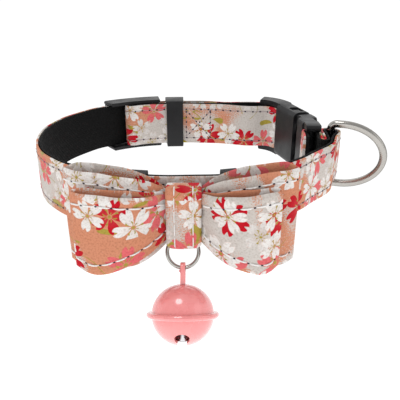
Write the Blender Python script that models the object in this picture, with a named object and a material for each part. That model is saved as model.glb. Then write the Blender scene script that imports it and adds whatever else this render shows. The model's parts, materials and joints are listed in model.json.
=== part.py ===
"""Pet bow tie collar: a printed cloth strap with buckle, slider, keeper and D-ring, a bow and a bell.

Metres, +Z up. The origin is the middle of the neck opening. The strap, bow and hardware are built in
the collar's own frame (its axis along Z, bow at -Y) and then tilted forward as the collar is worn,
so that the knot ring and the bell hang straight down.
"""
import math

import bmesh
import bpy
import numpy as np
from mathutils import Matrix, Vector

MM = 0.001

# Neck loop and strap
loop_half_width = 56.9 * MM
loop_half_depth = 52.8 * MM
loop_squareness = 2.15
corner_bulge = 6.8 * MM
corner_bulge_angle = 48.5
corner_bulge_spread = 15.0
forward_tilt = 30.0
strap_width = 20.0 * MM
cover_thickness = 1.0 * MM
webbing_thickness = 1.0 * MM
fit_gap = 0.3 * MM

# Places along the strap, measured round the loop from the middle of the front, going to the right
male_bar_at = 86.5 * MM
female_bar_at = 129.5 * MM
tail_end_at = 163.0 * MM
keeper_at = 185.0 * MM
slider_at = 206.0 * MM
slider_bar_at = 208.0 * MM
pleat_root_at = 76.5 * MM
ring_bar_at = 87.5 * MM
pleat_length = 22.0 * MM
male_tail_length = 9.0 * MM
loose_start = 2.0 * MM
loose_slack = 1.6 * MM
strap_step = 3.0 * MM
long_step = 4.0 * MM
fine_step = 2.5 * MM

# Slider, keeper and buckle
slider_length = 27.0 * MM
slider_rail = 1.6 * MM
slider_bar = 1.6 * MM
slider_bulge = 1.6 * MM
slider_end_bar = 3.0 * MM
slider_rail_rise = 0.9 * MM
slider_rail_round = 0.7 * MM
keeper_length = 9.0 * MM
keeper_wall = 1.5 * MM
keeper_round = 1.0 * MM
buckle_thickness = 8.6 * MM
buckle_width = 25.6 * MM
buckle_wall = 1.7 * MM
buckle_bar = 2.5 * MM
female_length = 34.0 * MM
female_bar_length = 12.5 * MM
female_bar_plate = 5.6 * MM
male_wall = 8.0 * MM
prong_length = 14.0 * MM
prong_width = 3.6 * MM
grip_start = 2.8 * MM
grip_end = 8.0 * MM
grip_rise = 1.5 * MM
grip_thickness = 3.4 * MM
buckle_round = 2.6 * MM
shoulder_round = 1.6 * MM
rail_round = 0.8 * MM
rail_inset = 1.0 * MM
window_start = 2.0 * MM
window_end = 9.5 * MM
window_inset = 0.4 * MM
window_round = 1.2 * MM
male_overhang = 2.0 * MM
male_wall_in = 3.0 * MM
male_wall_out = 4.0 * MM
male_wall_round = 1.5 * MM
male_rail_in = 2.4 * MM
male_rail_out = 3.6 * MM
male_rail_edge = 0.2 * MM
male_rail_round = 0.9 * MM
mouth_gap = 0.6 * MM
prong_gap = 0.4 * MM
prong_thickness = 4.2 * MM
prong_round = 0.6 * MM
shoulder_thickness = 6.0 * MM
shoulder_inset = 0.5 * MM
tongue_thickness = 2.8 * MM
tongue_width = 4.8 * MM
tongue_inset = 3.0 * MM
root_overlap = 1.0 * MM
bar_overlap = 0.5 * MM

# D-ring
d_ring_wire = 3.1 * MM
d_ring_height = 29.0 * MM
d_ring_reach = 23.8 * MM
d_ring_straight = 5.0 * MM
d_ring_swing = -19.0
d_ring_stand_off = 5.6 * MM

# Bow, knot and elastics
bow_centre = 2.9 * MM
bow_fabric = 1.0 * MM
back_wing_left = 37.8 * MM
back_wing_right = 36.2 * MM
back_wing_height = 33.5 * MM
back_wing_depth = 9.5 * MM
front_wing_left = 33.7 * MM
front_wing_right = 29.6 * MM
front_wing_height = 27.5 * MM
front_wing_depth = 3.8 * MM
cloth_swell = 0.35 * MM
knot_width = 10.2 * MM
knot_foot_width = 6.2 * MM
knot_height = 21.4 * MM
knot_low = 0.8 * MM
knot_fabric = 1.1 * MM
knot_corner = 3.2 * MM
knot_taper = 0.32
elastic_spacing = 30.0 * MM
elastic_width = 5.5 * MM
elastic_thickness = 1.0 * MM
elastic_round = 0.9 * MM

# Knot ring and bell
knot_ring_size = 11.4 * MM
knot_ring_wire = 1.2 * MM
knot_ring_drop = 0.9 * MM
knot_ring_aside = -0.4 * MM
bell_diameter = 19.6 * MM
bell_height = 19.2 * MM
bell_wall = 0.8 * MM
bell_flange = 22.6 * MM
bell_flange_thickness = 1.9 * MM
bell_lip = 0.5 * MM
bell_slot_width = 2.9 * MM
bell_hole = 4.8 * MM
bell_hole_angle = 44.0
hanger_width = 1.7 * MM
hanger_thickness = 0.9 * MM
hanger_rise = 6.4 * MM
hanger_root = 0.45 * MM
pellet_diameter = 5.0 * MM

strap_thickness = cover_thickness + fit_gap + webbing_thickness
half_strap = strap_thickness / 2
layer_pitch = strap_thickness + fit_gap
strap_edge = strap_width / 2
front_face = loop_half_depth + half_strap


def clear_scene():
    for item in list(bpy.data.objects):
        bpy.data.objects.remove(item, do_unlink=True)


def make_material(name, colour, roughness, metallic=0.0):
    material = bpy.data.materials.new(name)
    material.use_nodes = True
    shader = material.node_tree.nodes["Principled BSDF"]
    shader.inputs["Base Color"].default_value = (*colour, 1.0)
    shader.inputs["Roughness"].default_value = roughness
    shader.inputs["Metallic"].default_value = metallic
    return material


def add_mesh(name, mesh_bm, material, smooth_angle=40.0):
    """Turns a bmesh into a named object with outward faces."""
    bmesh.ops.recalc_face_normals(mesh_bm, faces=mesh_bm.faces)
    if mesh_bm.calc_volume(signed=True) < 0:
        bmesh.ops.reverse_faces(mesh_bm, faces=mesh_bm.faces)
    mesh = bpy.data.meshes.new(name)
    mesh_bm.to_mesh(mesh)
    mesh_bm.free()
    mesh.shade_smooth()
    mesh.set_sharp_from_angle(angle=math.radians(smooth_angle))
    mesh.materials.append(material)
    item = bpy.data.objects.new(name, mesh)
    bpy.context.scene.collection.objects.link(item)
    return item


def ease(share):
    share = min(max(share, 0.0), 1.0)
    return share * share * (3 - 2 * share)


# The neck loop

def loop_outline():
    """Points round the loop's mid line from the front, with their lengths and outward normals."""
    angle = np.radians(np.linspace(-90, 270, 1441))
    cosine, sine = np.cos(angle), np.sin(angle)
    power = 2 / loop_squareness
    x = loop_half_width * np.sign(cosine) * np.abs(cosine) ** power
    y = loop_half_depth * np.sign(sine) * np.abs(sine) ** power
    turn = np.degrees(angle) - corner_bulge_angle
    bulge = corner_bulge * np.exp(-(turn / corner_bulge_spread) ** 2)
    reach = np.hypot(x, y)
    x, y = x * (1 + bulge / reach), y * (1 + bulge / reach)
    step = np.hypot(np.diff(x), np.diff(y))
    length = np.concatenate([[0.0], np.cumsum(step)])
    tangent_x = np.gradient(x, length)
    tangent_y = np.gradient(y, length)
    scale = np.hypot(tangent_x, tangent_y)
    return x, y, length, tangent_y / scale, -tangent_x / scale


LOOP_X, LOOP_Y, LOOP_LENGTH, NORMAL_X, NORMAL_Y = loop_outline()
loop_length = float(LOOP_LENGTH[-1])


def on_loop(along, out):
    """Plan point at a length along the loop and a distance out from its mid line."""
    at = along % loop_length
    normal_x = np.interp(at, LOOP_LENGTH, NORMAL_X)
    normal_y = np.interp(at, LOOP_LENGTH, NORMAL_Y)
    x = np.interp(at, LOOP_LENGTH, LOOP_X) + normal_x * out
    y = np.interp(at, LOOP_LENGTH, LOOP_Y) + normal_y * out
    return Vector((x, y))


def bend_to_loop(mesh_bm, start, end, step=strap_step):
    """Wraps a straight piece, modelled with X along the strap and Y outwards, round the loop."""
    cuts = int((end - start) / step)
    for index in range(1, cuts):
        at = start + (end - start) * index / cuts
        everything = mesh_bm.verts[:] + mesh_bm.edges[:] + mesh_bm.faces[:]
        bmesh.ops.bisect_plane(mesh_bm, geom=everything, plane_co=(at, 0, 0), plane_no=(1, 0, 0))
    bmesh.ops.triangulate(mesh_bm, faces=mesh_bm.faces)
    for vert in mesh_bm.verts:
        place = on_loop(vert.co.x, vert.co.y)
        vert.co.x, vert.co.y = place.x, place.y


# The strap: one long band that folds round slider, buckle and D-ring

def run(start, end, step=strap_step):
    """Points (along, out) between two places, easing from one distance to the other."""
    count = max(int(abs(end[0] - start[0]) / step), 2)
    points = []
    for index in range(count + 1):
        share = index / count
        along = start[0] + (end[0] - start[0]) * share
        points.append((along, start[1] + (end[1] - start[1]) * ease(share)))
    return points


def turn(centre, radius, first, last, steps=10):
    """Points (along, out) on an arc, from one angle to another in degrees."""
    points = []
    for index in range(steps + 1):
        angle = math.radians(first + (last - first) * index / steps)
        points.append((centre[0] + radius * math.cos(angle), centre[1] + radius * math.sin(angle)))
    return points


slider_fold = slider_bar / 2 + fit_gap + half_strap
slider_tail_out = slider_bulge - layer_pitch
slider_bar_out = slider_tail_out - slider_fold
female_fold = buckle_bar / 2 + fit_gap + half_strap
male_fold = buckle_bar / 2 + fit_gap + half_strap
ring_fold = d_ring_wire / 2 + fit_gap + half_strap
tail_out = -layer_pitch
return_out = -2 * layer_pitch
loose_return_out = return_out - loose_slack
pleat_inner_out = d_ring_stand_off - ring_fold
third_out = pleat_inner_out - layer_pitch
male_bar_out = third_out - male_fold
male_tail_out = male_bar_out - male_fold
pleat_outer_out = pleat_inner_out + layer_pitch
pinch_turn = half_strap + fit_gap / 2


def strap_route():
    """The strap's mid line as (along, out) points from its hidden end to its other end."""
    once_round = loop_length
    slider_start, slider_end = slider_at - slider_length / 2, slider_at + slider_length / 2
    route = run((tail_end_at, tail_out), (slider_start, tail_out))
    route += run((slider_start, tail_out), (slider_bar_at, slider_tail_out))[1:]
    route += turn((slider_bar_at, slider_bar_out), slider_fold, 90, -90)[1:]
    route += run((slider_bar_at, slider_bar_out - slider_fold), (slider_start, return_out))[1:]
    free_at = tail_end_at + loose_start
    route += run((slider_start, return_out), (free_at, return_out))[1:]
    loose_at = (tail_end_at + female_bar_at) / 2
    route += run((free_at, return_out), (loose_at, loose_return_out))[1:]
    route += run((loose_at, loose_return_out), (female_bar_at, -female_fold))[1:]
    route += turn((female_bar_at, 0), female_fold, -90, -270)[1:]
    route += run((female_bar_at, female_fold), (tail_end_at, 0))[1:]
    route += run((tail_end_at, 0), (slider_start, 0))[1:]
    route += run((slider_start, 0), (slider_bar_at, slider_bulge))[1:]
    route += run((slider_bar_at, slider_bulge), (slider_end, 0))[1:]
    pleat_start = once_round + pleat_root_at
    rise_start = pleat_start - pleat_length
    route += run((slider_end, 0), (rise_start, 0), long_step)[1:]
    route += run((rise_start, 0), (pleat_start, pleat_outer_out))[1:]
    bar_at = once_round + ring_bar_at
    route += run((pleat_start, pleat_outer_out), (bar_at, d_ring_stand_off + ring_fold))[1:]
    route += turn((bar_at, d_ring_stand_off), ring_fold, 90, -90)[1:]
    route += run((bar_at, pleat_inner_out), (pleat_start, pleat_inner_out))[1:]
    inner_centre = (pleat_start, pleat_inner_out - pinch_turn)
    route += turn(inner_centre, pinch_turn, 90, 270, 8)[1:]
    male_at = once_round + male_bar_at
    route += run((pleat_start, third_out), (male_at, third_out))[1:]
    route += turn((male_at, male_bar_out), male_fold, 90, -90)[1:]
    route += run((male_at, male_tail_out), (male_at - male_tail_length, male_tail_out))[1:]
    return route


def band_from_route(route, right_near, right_far):
    """A flat band standing on edge: its section lies between two distances right of the route."""
    plan = [on_loop(along, out) for along, out in route]
    band = bmesh.new()
    rows = []
    last = len(plan) - 1
    for index, point in enumerate(plan):
        ahead = plan[min(index + 1, last)] - plan[max(index - 1, 0)]
        right = Vector((ahead.y, -ahead.x)).normalized()
        row = []
        for offset, height in ((right_near, -1), (right_far, -1), (right_far, 1), (right_near, 1)):
            spot = point + right * offset
            row.append(band.verts.new((spot.x, spot.y, height * strap_edge)))
        rows.append(row)
    for first, second in zip(rows, rows[1:]):
        for corner in range(4):
            after = (corner + 1) % 4
            band.faces.new((first[corner], first[after], second[after], second[corner]))
    band.faces.new(rows[0][::-1])
    band.faces.new(rows[-1])
    return band


def make_strap(cover_material, webbing_material):
    route = strap_route()
    cover = band_from_route(route, half_strap - cover_thickness, half_strap)
    webbing = band_from_route(route, -half_strap, webbing_thickness - half_strap)
    return [
        add_mesh("strap_cover", cover, cover_material),
        add_mesh("strap_webbing", webbing, webbing_material),
    ]


# Straight blocks in (along, out, height), later bent round the loop

def block(along, out, height):
    """A closed box between pairs of limits."""
    box = bmesh.new()
    bmesh.ops.create_cube(box, size=1.0)
    size = (along[1] - along[0], out[1] - out[0], height[1] - height[0])
    middle = ((along[0] + along[1]) / 2, (out[0] + out[1]) / 2, (height[0] + height[1]) / 2)
    for vert in box.verts:
        vert.co = Vector([vert.co[axis] * size[axis] + middle[axis] for axis in range(3)])
    return box


def round_edges(box, direction, width, segments=2):
    """Bevels the edges that run along one axis, or all edges when direction is None."""
    edges = []
    for edge in box.edges:
        line = (edge.verts[1].co - edge.verts[0].co).normalized()
        if direction is None or abs(line[direction]) > 0.99:
            edges.append(edge)
    bmesh.ops.bevel(
        box, geom=edges, offset=width, segments=segments, profile=0.5, affect="EDGES",
        clamp_overlap=True)
    return box


def temporary(name, mesh_bm, cutter=False):
    bmesh.ops.recalc_face_normals(mesh_bm, faces=mesh_bm.faces)
    mesh = bpy.data.meshes.new(name)
    mesh_bm.to_mesh(mesh)
    mesh_bm.free()
    item = bpy.data.objects.new(name, mesh)
    bpy.context.scene.collection.objects.link(item)
    if cutter:
        item.hide_render = True
        item.display_type = "WIRE"
    return item


def combine(base, additions=(), cuts=()):
    """Exact union and difference of bmesh shapes, returned as one bmesh."""
    target = temporary("base", base)
    tools = []
    for kind, shapes in (("UNION", additions), ("DIFFERENCE", cuts)):
        for shape in shapes:
            tool = temporary("tool", shape, cutter=True)
            tools.append(tool)
            step = target.modifiers.new(kind.lower(), "BOOLEAN")
            step.operation = kind
            step.solver = "EXACT"
            step.object = tool
    graph = bpy.context.evaluated_depsgraph_get()
    result = bmesh.new()
    result.from_mesh(target.evaluated_get(graph).to_mesh())
    for item in [target, *tools]:
        bpy.data.objects.remove(item, do_unlink=True)
    bmesh.ops.remove_doubles(result, verts=result.verts, dist=1e-7)
    return result


# Slider: two outer end bars, a recessed centre bar and two rails

def make_slider(material):
    start, end = slider_at - slider_length / 2, slider_at + slider_length / 2
    rail_low = strap_edge + fit_gap
    rail_high = rail_low + slider_rail
    end_out = half_strap + fit_gap
    end_top = end_out + slider_bar
    centre_low = slider_bar_out - slider_bar / 2
    centre_high = slider_bar_out + slider_bar / 2
    pieces = []
    for side in (-1, 1):
        limits = sorted((side * rail_low, side * rail_high))
        rail = block((start, end), (centre_low, end_top + slider_rail_rise), limits)
        pieces.append(round_edges(rail, 1, slider_rail_round))
    bar_height = (-rail_low - bar_overlap, rail_low + bar_overlap)
    for first in (start, end - slider_end_bar):
        pieces.append(block((first, first + slider_end_bar), (end_out, end_top), bar_height))
    half_bar = slider_bar / 2
    centre = block((slider_bar_at - half_bar, slider_bar_at + half_bar), (centre_low, centre_high), bar_height)
    pieces.append(round_edges(centre, 2, 0.4 * slider_bar))
    joined = combine(pieces[0], pieces[1:])
    bend_to_loop(joined, start, end)
    return add_mesh("slider", joined, material)


def make_keeper(material):
    start, end = keeper_at - keeper_length / 2, keeper_at + keeper_length / 2
    inner_out = (return_out - half_strap - fit_gap, half_strap + fit_gap)
    inner_height = strap_edge + fit_gap
    outer = block(
        (start, end), (inner_out[0] - keeper_wall, inner_out[1] + keeper_wall),
        (-inner_height - keeper_wall, inner_height + keeper_wall))
    round_edges(outer, 0, keeper_round)
    hole = block((start - root_overlap, end + root_overlap), inner_out, (-inner_height, inner_height))
    joined = combine(outer, cuts=[hole])
    bend_to_loop(joined, start, end)
    return add_mesh("keeper", joined, material)


# Side release buckle: a hollow body with side windows, and a pronged half

female_end = female_bar_at + female_bar_length - buckle_bar / 2
female_mouth = female_end - female_length
female_slot_end = female_bar_at - buckle_bar / 2
female_slot_start = female_bar_at - female_fold - half_strap - fit_gap
buckle_half = buckle_thickness / 2
buckle_edge = buckle_width / 2


def make_buckle_female(material):
    body = block(
        (female_mouth, female_slot_start), (-buckle_half, buckle_half), (-buckle_edge, buckle_edge))
    round_edges(body, 0, buckle_round, 3)
    additions = []
    inner_edge = strap_edge + fit_gap
    for side in (-1, 1):
        limits = sorted((side * inner_edge, side * buckle_edge))
        rail = block(
            (female_slot_start - root_overlap, female_end),
            (rail_inset - buckle_half, buckle_half - rail_inset), limits)
        additions.append(round_edges(rail, 1, rail_round))
    bar = block(
        (female_slot_end, female_slot_end + female_bar_plate), (-buckle_bar / 2, buckle_bar / 2),
        (-inner_edge - bar_overlap, inner_edge + bar_overlap))
    additions.append(round_edges(bar, 2, rail_round))
    cavity_out = buckle_half - buckle_wall
    cavity_edge = buckle_edge - buckle_wall
    cavity_end = female_slot_start - buckle_wall
    cavity = block(
        (female_mouth - root_overlap, cavity_end), (-cavity_out, cavity_out), (-cavity_edge, cavity_edge))
    window = block(
        (female_mouth + window_start, female_mouth + window_end),
        (window_inset - cavity_out, cavity_out - window_inset),
        (-buckle_edge - root_overlap, buckle_edge + root_overlap))
    round_edges(window, 2, window_round)
    joined = combine(body, additions, [cavity, window])
    bend_to_loop(joined, female_mouth, female_end, fine_step)
    return add_mesh("buckle_socket", joined, material)


def make_buckle_male(material):
    """Strap frame, cross wall, rounded shoulders, a guide tongue and two side prongs."""
    frame_start = male_bar_at - buckle_bar / 2 - male_overhang
    wall_start = male_bar_at + male_fold + half_strap + fit_gap
    wall_end = wall_start + male_wall
    shoulder_end = female_mouth - mouth_gap
    prong_end = female_mouth + prong_length
    inner_edge = strap_edge + fit_gap
    middle = male_bar_out
    wall = block(
        (wall_start, wall_end), (middle - male_wall_in, middle + male_wall_out),
        (-buckle_edge, buckle_edge))
    round_edges(wall, 0, male_wall_round)
    additions = []
    for side in (-1, 1):
        limits = sorted((side * inner_edge, side * (buckle_edge + male_rail_edge)))
        rail = block(
            (frame_start, wall_start + root_overlap),
            (middle - male_rail_in, middle + male_rail_out), limits)
        additions.append(round_edges(rail, 1, male_rail_round))
        far = side * (buckle_edge - buckle_wall - prong_gap)
        near = far - side * prong_width
        prong = block(
            (wall_end - root_overlap, prong_end), (-prong_thickness / 2, prong_thickness / 2),
            sorted((near, far)))
        additions.append(round_edges(prong, 0, prong_round, 1))
        shoulder = block(
            (wall_end - root_overlap, shoulder_end), (-shoulder_thickness / 2, shoulder_thickness / 2),
            sorted((near, side * (buckle_edge - shoulder_inset))))
        additions.append(round_edges(shoulder, 1, shoulder_round, 3))
        grip = block(
            (female_mouth + grip_start, female_mouth + grip_end), (-grip_thickness / 2, grip_thickness / 2),
            sorted((far - side * root_overlap, far + side * grip_rise)))
        additions.append(round_edges(grip, 1, rail_round))
    tongue = block(
        (wall_end - root_overlap, prong_end - tongue_inset), (-tongue_thickness / 2, tongue_thickness / 2),
        (-tongue_width / 2, tongue_width / 2))
    additions.append(tongue)
    bar = block(
        (male_bar_at - buckle_bar / 2, male_bar_at + buckle_bar / 2),
        (middle - buckle_bar / 2, middle + buckle_bar / 2),
        (-inner_edge - bar_overlap, inner_edge + bar_overlap))
    additions.append(round_edges(bar, 2, rail_round))
    joined = combine(wall, additions)
    bend_to_loop(joined, frame_start, prong_end, fine_step)
    return add_mesh("buckle_prongs", joined, material)


# Wires

def wire_mesh(points, radius, sides):
    """A closed wire of round section along a closed plan of points."""
    wire = bmesh.new()
    count = len(points)
    rings = []
    centre = sum(points, Vector((0, 0, 0))) / count
    plane = (points[1] - centre).cross(points[2] - centre).normalized()
    for index in range(count):
        ahead = (points[(index + 1) % count] - points[index - 1]).normalized()
        side = plane.cross(ahead).normalized()
        ring = []
        for step in range(sides):
            angle = 2 * math.pi * (step + 0.5) / sides
            offset = side * (radius * math.cos(angle)) + plane * (radius * math.sin(angle))
            ring.append(wire.verts.new(points[index] + offset))
        rings.append(ring)
    for index in range(count):
        here, after = rings[index], rings[(index + 1) % count]
        for step in range(sides):
            beside = (step + 1) % sides
            wire.faces.new((here[step], here[beside], after[beside], after[step]))
    return wire


def make_d_ring(material):
    """Straight bar on the joint axis (local Z), bow of the D out along local X."""
    half = (d_ring_height - d_ring_wire) / 2
    reach = d_ring_reach - d_ring_wire / 2
    corner = half - strap_edge - fit_gap
    arc_reach = reach - d_ring_straight
    points = []
    for index in range(7):
        share = index / 6
        points.append(Vector((0, 0, (2 * share - 1) * (half - corner))))
    for index in range(1, 6):
        angle = math.radians(90 * index / 6)
        points.append(Vector((corner - corner * math.cos(angle), 0, half - corner + corner * math.sin(angle))))
    steps = 28
    for index in range(steps + 1):
        angle = math.radians(90 - 180 * index / steps)
        points.append(Vector((d_ring_straight + arc_reach * math.cos(angle), 0, half * math.sin(angle))))
    for index in range(1, 6):
        angle = math.radians(90 - 90 * index / 6)
        points.append(Vector((corner - corner * math.cos(angle), 0, corner - half - corner * math.sin(angle))))
    ring = add_mesh("d_ring", wire_mesh(points, d_ring_wire / 2, 10), material)
    place = on_loop(ring_bar_at, d_ring_stand_off)
    ring.location = (place.x, place.y, 0)
    ring.rotation_euler = (0, 0, math.radians(d_ring_swing))
    return ring


# Bow: two flattened loops of cloth, each pinched in the middle by the knot

# share of the wing's length, back layer and front layer as shares of the wing's depth out from the
# pinched middle, top and bottom edge as shares of the wing's height
BACK_WING = (
    {"share": 0.00, "back": 0.00, "front": 0.00, "top": 0.19, "bottom": -0.21},
    {"share": 0.07, "back": 0.00, "front": 0.00, "top": 0.195, "bottom": -0.22},
    {"share": 0.15, "back": 0.00, "front": 0.03, "top": 0.232, "bottom": -0.31},
    {"share": 0.27, "back": -0.08, "front": 0.28, "top": 0.32, "bottom": -0.41},
    {"share": 0.42, "back": -0.17, "front": 0.47, "top": 0.38, "bottom": -0.49},
    {"share": 0.62, "back": -0.31, "front": 0.47, "top": 0.42, "bottom": -0.52},
    {"share": 0.82, "back": -0.42, "front": 0.26, "top": 0.43, "bottom": -0.545},
    {"share": 0.94, "back": -0.42, "front": 0.02, "top": 0.43, "bottom": -0.545},
    {"share": 1.00, "back": -0.20, "front": -0.20, "top": 0.42, "bottom": -0.53},
)
FRONT_WING = (
    {"share": 0.00, "back": 0.00, "front": 0.00, "top": 0.21, "bottom": -0.25},
    {"share": 0.08, "back": 0.00, "front": 0.00, "top": 0.22, "bottom": -0.245},
    {"share": 0.18, "back": 0.12, "front": 0.30, "top": 0.27, "bottom": -0.30},
    {"share": 0.33, "back": 1.02, "front": 1.66, "top": 0.31, "bottom": -0.37},
    {"share": 0.52, "back": 1.40, "front": 2.34, "top": 0.35, "bottom": -0.48},
    {"share": 0.72, "back": 1.40, "front": 2.36, "top": 0.37, "bottom": -0.565},
    {"share": 0.90, "back": 1.30, "front": 2.00, "top": 0.38, "bottom": -0.58},
    {"share": 0.97, "back": 1.34, "front": 1.68, "top": 0.38, "bottom": -0.545},
    {"share": 1.00, "back": 1.50, "front": 1.52, "top": 0.37, "bottom": -0.53},
)


def wing_value(table, share, column):
    shares = [row["share"] for row in table]
    values = [row[column] for row in table]
    return smooth_read(shares, values, share)


def smooth_read(places, values, at):
    """Reads a table along a smooth curve (cubic, with slopes taken from the neighbours)."""
    last = len(places) - 1
    index = 0
    while index < last - 1 and at > places[index + 1]:
        index += 1
    left, right = places[index], places[index + 1]
    share = (at - left) / (right - left)
    before, after = max(index - 1, 0), min(index + 2, last)
    slope_left = (values[index + 1] - values[before]) / (places[index + 1] - places[before])
    slope_right = (values[after] - values[index]) / (places[after] - places[index])
    span = right - left
    square, cube = share * share, share ** 3
    return ((2 * cube - 3 * square + 1) * values[index] + (cube - 2 * square + share) * span * slope_left
            + (3 * square - 2 * cube) * values[index + 1] + (cube - square) * span * slope_right)


def tier_outline(table, left, right, depth, back_middle, front_middle):
    """Plan points of the tier's loop mid line with edge heights, once round."""
    shares = [0.0, 0.035, 0.07, 0.11, 0.15, 0.2, 0.26, 0.33, 0.41, 0.5, 0.59, 0.68, 0.77, 0.85, 0.91,
              0.955, 0.985, 1.0]
    points = []
    for side, length in ((-1, left), (1, right)):
        layers = (("back", back_middle), ("front", front_middle))
        if side == 1:
            layers = (("front", front_middle), ("back", back_middle))
        for position, (column, middle) in enumerate(layers):
            walk = shares if position == 0 else shares[-2:0:-1]
            for share in walk:
                out = middle + wing_value(table, share, column) * depth
                if share == 1.0:
                    out = (back_middle + front_middle) / 2
                    out += (wing_value(table, 1.0, "back") + wing_value(table, 1.0, "front")) / 2 * depth
                points.append((side * length * share, out, share))
    return points


def make_tier(name, table, left, right, height, depth, back_middle, front_middle, material):
    """A band of cloth once round the tier's outline, its edges rising and falling along the wings."""
    outline = tier_outline(table, left, right, depth, back_middle, front_middle)
    levels = 5
    tier = bmesh.new()
    count = len(outline)
    rows = []
    for index in range(count):
        x, out, share = outline[index]
        before, after = outline[index - 1], outline[(index + 1) % count]
        ahead = Vector((after[0] - before[0], after[1] - before[1])).normalized()
        outward = Vector((-ahead.y, ahead.x))
        top = wing_value(table, share, "top") * height
        bottom = wing_value(table, share, "bottom") * height
        row = []
        for face in (1, -1):
            steps = range(levels) if face == 1 else range(levels - 1, -1, -1)
            for level in steps:
                rise = level / (levels - 1)
                swell = math.sin(math.pi * rise) * cloth_swell * share
                spot_x = x + outward.x * (face * bow_fabric / 2 + swell)
                spot_out = out + outward.y * (face * bow_fabric / 2 + swell)
                z = bottom + (top - bottom) * rise
                row.append(tier.verts.new((bow_centre + spot_x, -front_face - spot_out, z)))
        rows.append(row)
    size = len(rows[0])
    for index in range(count):
        here, after = rows[index], rows[(index + 1) % count]
        for corner in range(size):
            beside = (corner + 1) % size
            tier.faces.new((here[corner], here[beside], after[beside], after[corner]))
    return add_mesh(name, tier, material, 60.0)


# How far each layer lies out from the strap's front face, at the knot
elastic_out = fit_gap
knot_back_out = elastic_out + elastic_thickness + fit_gap
tier_pitch = bow_fabric + fit_gap
back_tier_back = knot_back_out + knot_fabric + fit_gap + bow_fabric / 2
back_tier_front = back_tier_back + tier_pitch
front_tier_back = back_tier_front + tier_pitch
front_tier_front = front_tier_back + tier_pitch
ring_plane_out = front_tier_front + bow_fabric / 2 + fit_gap + knot_ring_wire / 2
knot_front_out = ring_plane_out + knot_ring_wire / 2 + fit_gap
knot_outer_out = knot_front_out + knot_fabric


def make_knot(material):
    """A band of cloth round the pinched middle; it narrows at its foot, where the ring hangs."""
    corner = knot_corner
    half_height = knot_height / 2
    half_depth = (knot_outer_out - knot_back_out) / 2
    middle_out = (knot_outer_out + knot_back_out) / 2
    corners = []
    for index in range(4):
        sign_out = (1, -1, -1, 1)[index]
        sign_up = (1, 1, -1, -1)[index]
        for step in range(6):
            angle = math.radians(90 * index + 90 * step / 5)
            out = sign_out * (half_depth - corner) + corner * math.cos(angle)
            up = sign_up * (half_height - corner) + corner * math.sin(angle)
            corners.append((out, up, math.cos(angle), math.sin(angle)))
    route = []
    for index, spot in enumerate(corners):
        route.append(spot)
        after = corners[(index + 1) % len(corners)]
        if math.hypot(after[0] - spot[0], after[1] - spot[1]) > long_step:
            for share in (0.2, 0.4, 0.6, 0.8):
                out = spot[0] + (after[0] - spot[0]) * share
                up = spot[1] + (after[1] - spot[1]) * share
                route.append((out, up, spot[2], spot[3]))
    knot = bmesh.new()
    rows = []
    for out, up, normal_out, normal_up in route:
        taper = ease((up + half_height) / (knot_taper * knot_height))
        half_width = (knot_foot_width + (knot_width - knot_foot_width) * taper) / 2
        row = []
        for inset in (0.0, knot_fabric):
            sides = (-1, 1) if inset == 0.0 else (1, -1)
            for side in sides:
                y = -front_face - middle_out - (out - normal_out * inset)
                z = up - normal_up * inset - knot_low
                row.append(knot.verts.new((bow_centre + side * half_width, y, z)))
        rows.append(row)
    for index in range(len(rows)):
        here, after = rows[index], rows[(index + 1) % len(rows)]
        for spot in range(4):
            beside = (spot + 1) % 4
            knot.faces.new((here[spot], here[beside], after[beside], after[spot]))
    return add_mesh("knot_band", knot, material, 60.0)


def make_elastic(name, side, material):
    """A flat elastic loop round the strap, which the back of the bow is sewn to."""
    middle = side * elastic_spacing / 2 + bow_centre
    start, end = middle - elastic_width / 2, middle + elastic_width / 2
    inner_out = half_strap + fit_gap
    inner_height = strap_edge + fit_gap
    outer = block(
        (start, end), (-inner_out - elastic_thickness, inner_out + elastic_thickness),
        (-inner_height - elastic_thickness, inner_height + elastic_thickness))
    round_edges(outer, 0, elastic_round)
    hole = block(
        (start - root_overlap, end + root_overlap), (-inner_out, inner_out), (-inner_height, inner_height))
    joined = combine(outer, cuts=[hole])
    bend_to_loop(joined, start, end)
    return add_mesh(name, joined, material)


# Knot ring and bell, which hang straight down

def collar_to_world(point):
    return Matrix.Rotation(math.radians(forward_tilt), 4, "X") @ Vector(point)


knot_ring_radius = (knot_ring_size - knot_ring_wire) / 2
ring_centre_height = -knot_low - knot_height / 2 - knot_ring_drop
ring_pivot = collar_to_world(
    (bow_centre + knot_ring_aside, -front_face - ring_plane_out, ring_centre_height))
bell_pivot = ring_pivot + Vector((0, 0, -knot_ring_radius))


def make_knot_ring(material):
    """Round wire in the plane that faces forward; its origin is on the swing axis through the foot."""
    steps = 32
    points = []
    for index in range(steps):
        angle = 2 * math.pi * index / steps
        points.append(Vector((knot_ring_radius * math.cos(angle), 0, knot_ring_radius * math.sin(angle))))
    ring = add_mesh("knot_ring", wire_mesh(points, knot_ring_wire / 2, 8), material)
    ring.location = ring_pivot
    return ring


hanger_top = knot_ring_wire / 2 + fit_gap + hanger_thickness
hanger_inner = knot_ring_wire / 2 + fit_gap
bell_top = hanger_top - hanger_rise - hanger_thickness
bell_middle = bell_top - bell_height / 2
bell_radius = bell_diameter / 2


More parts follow.
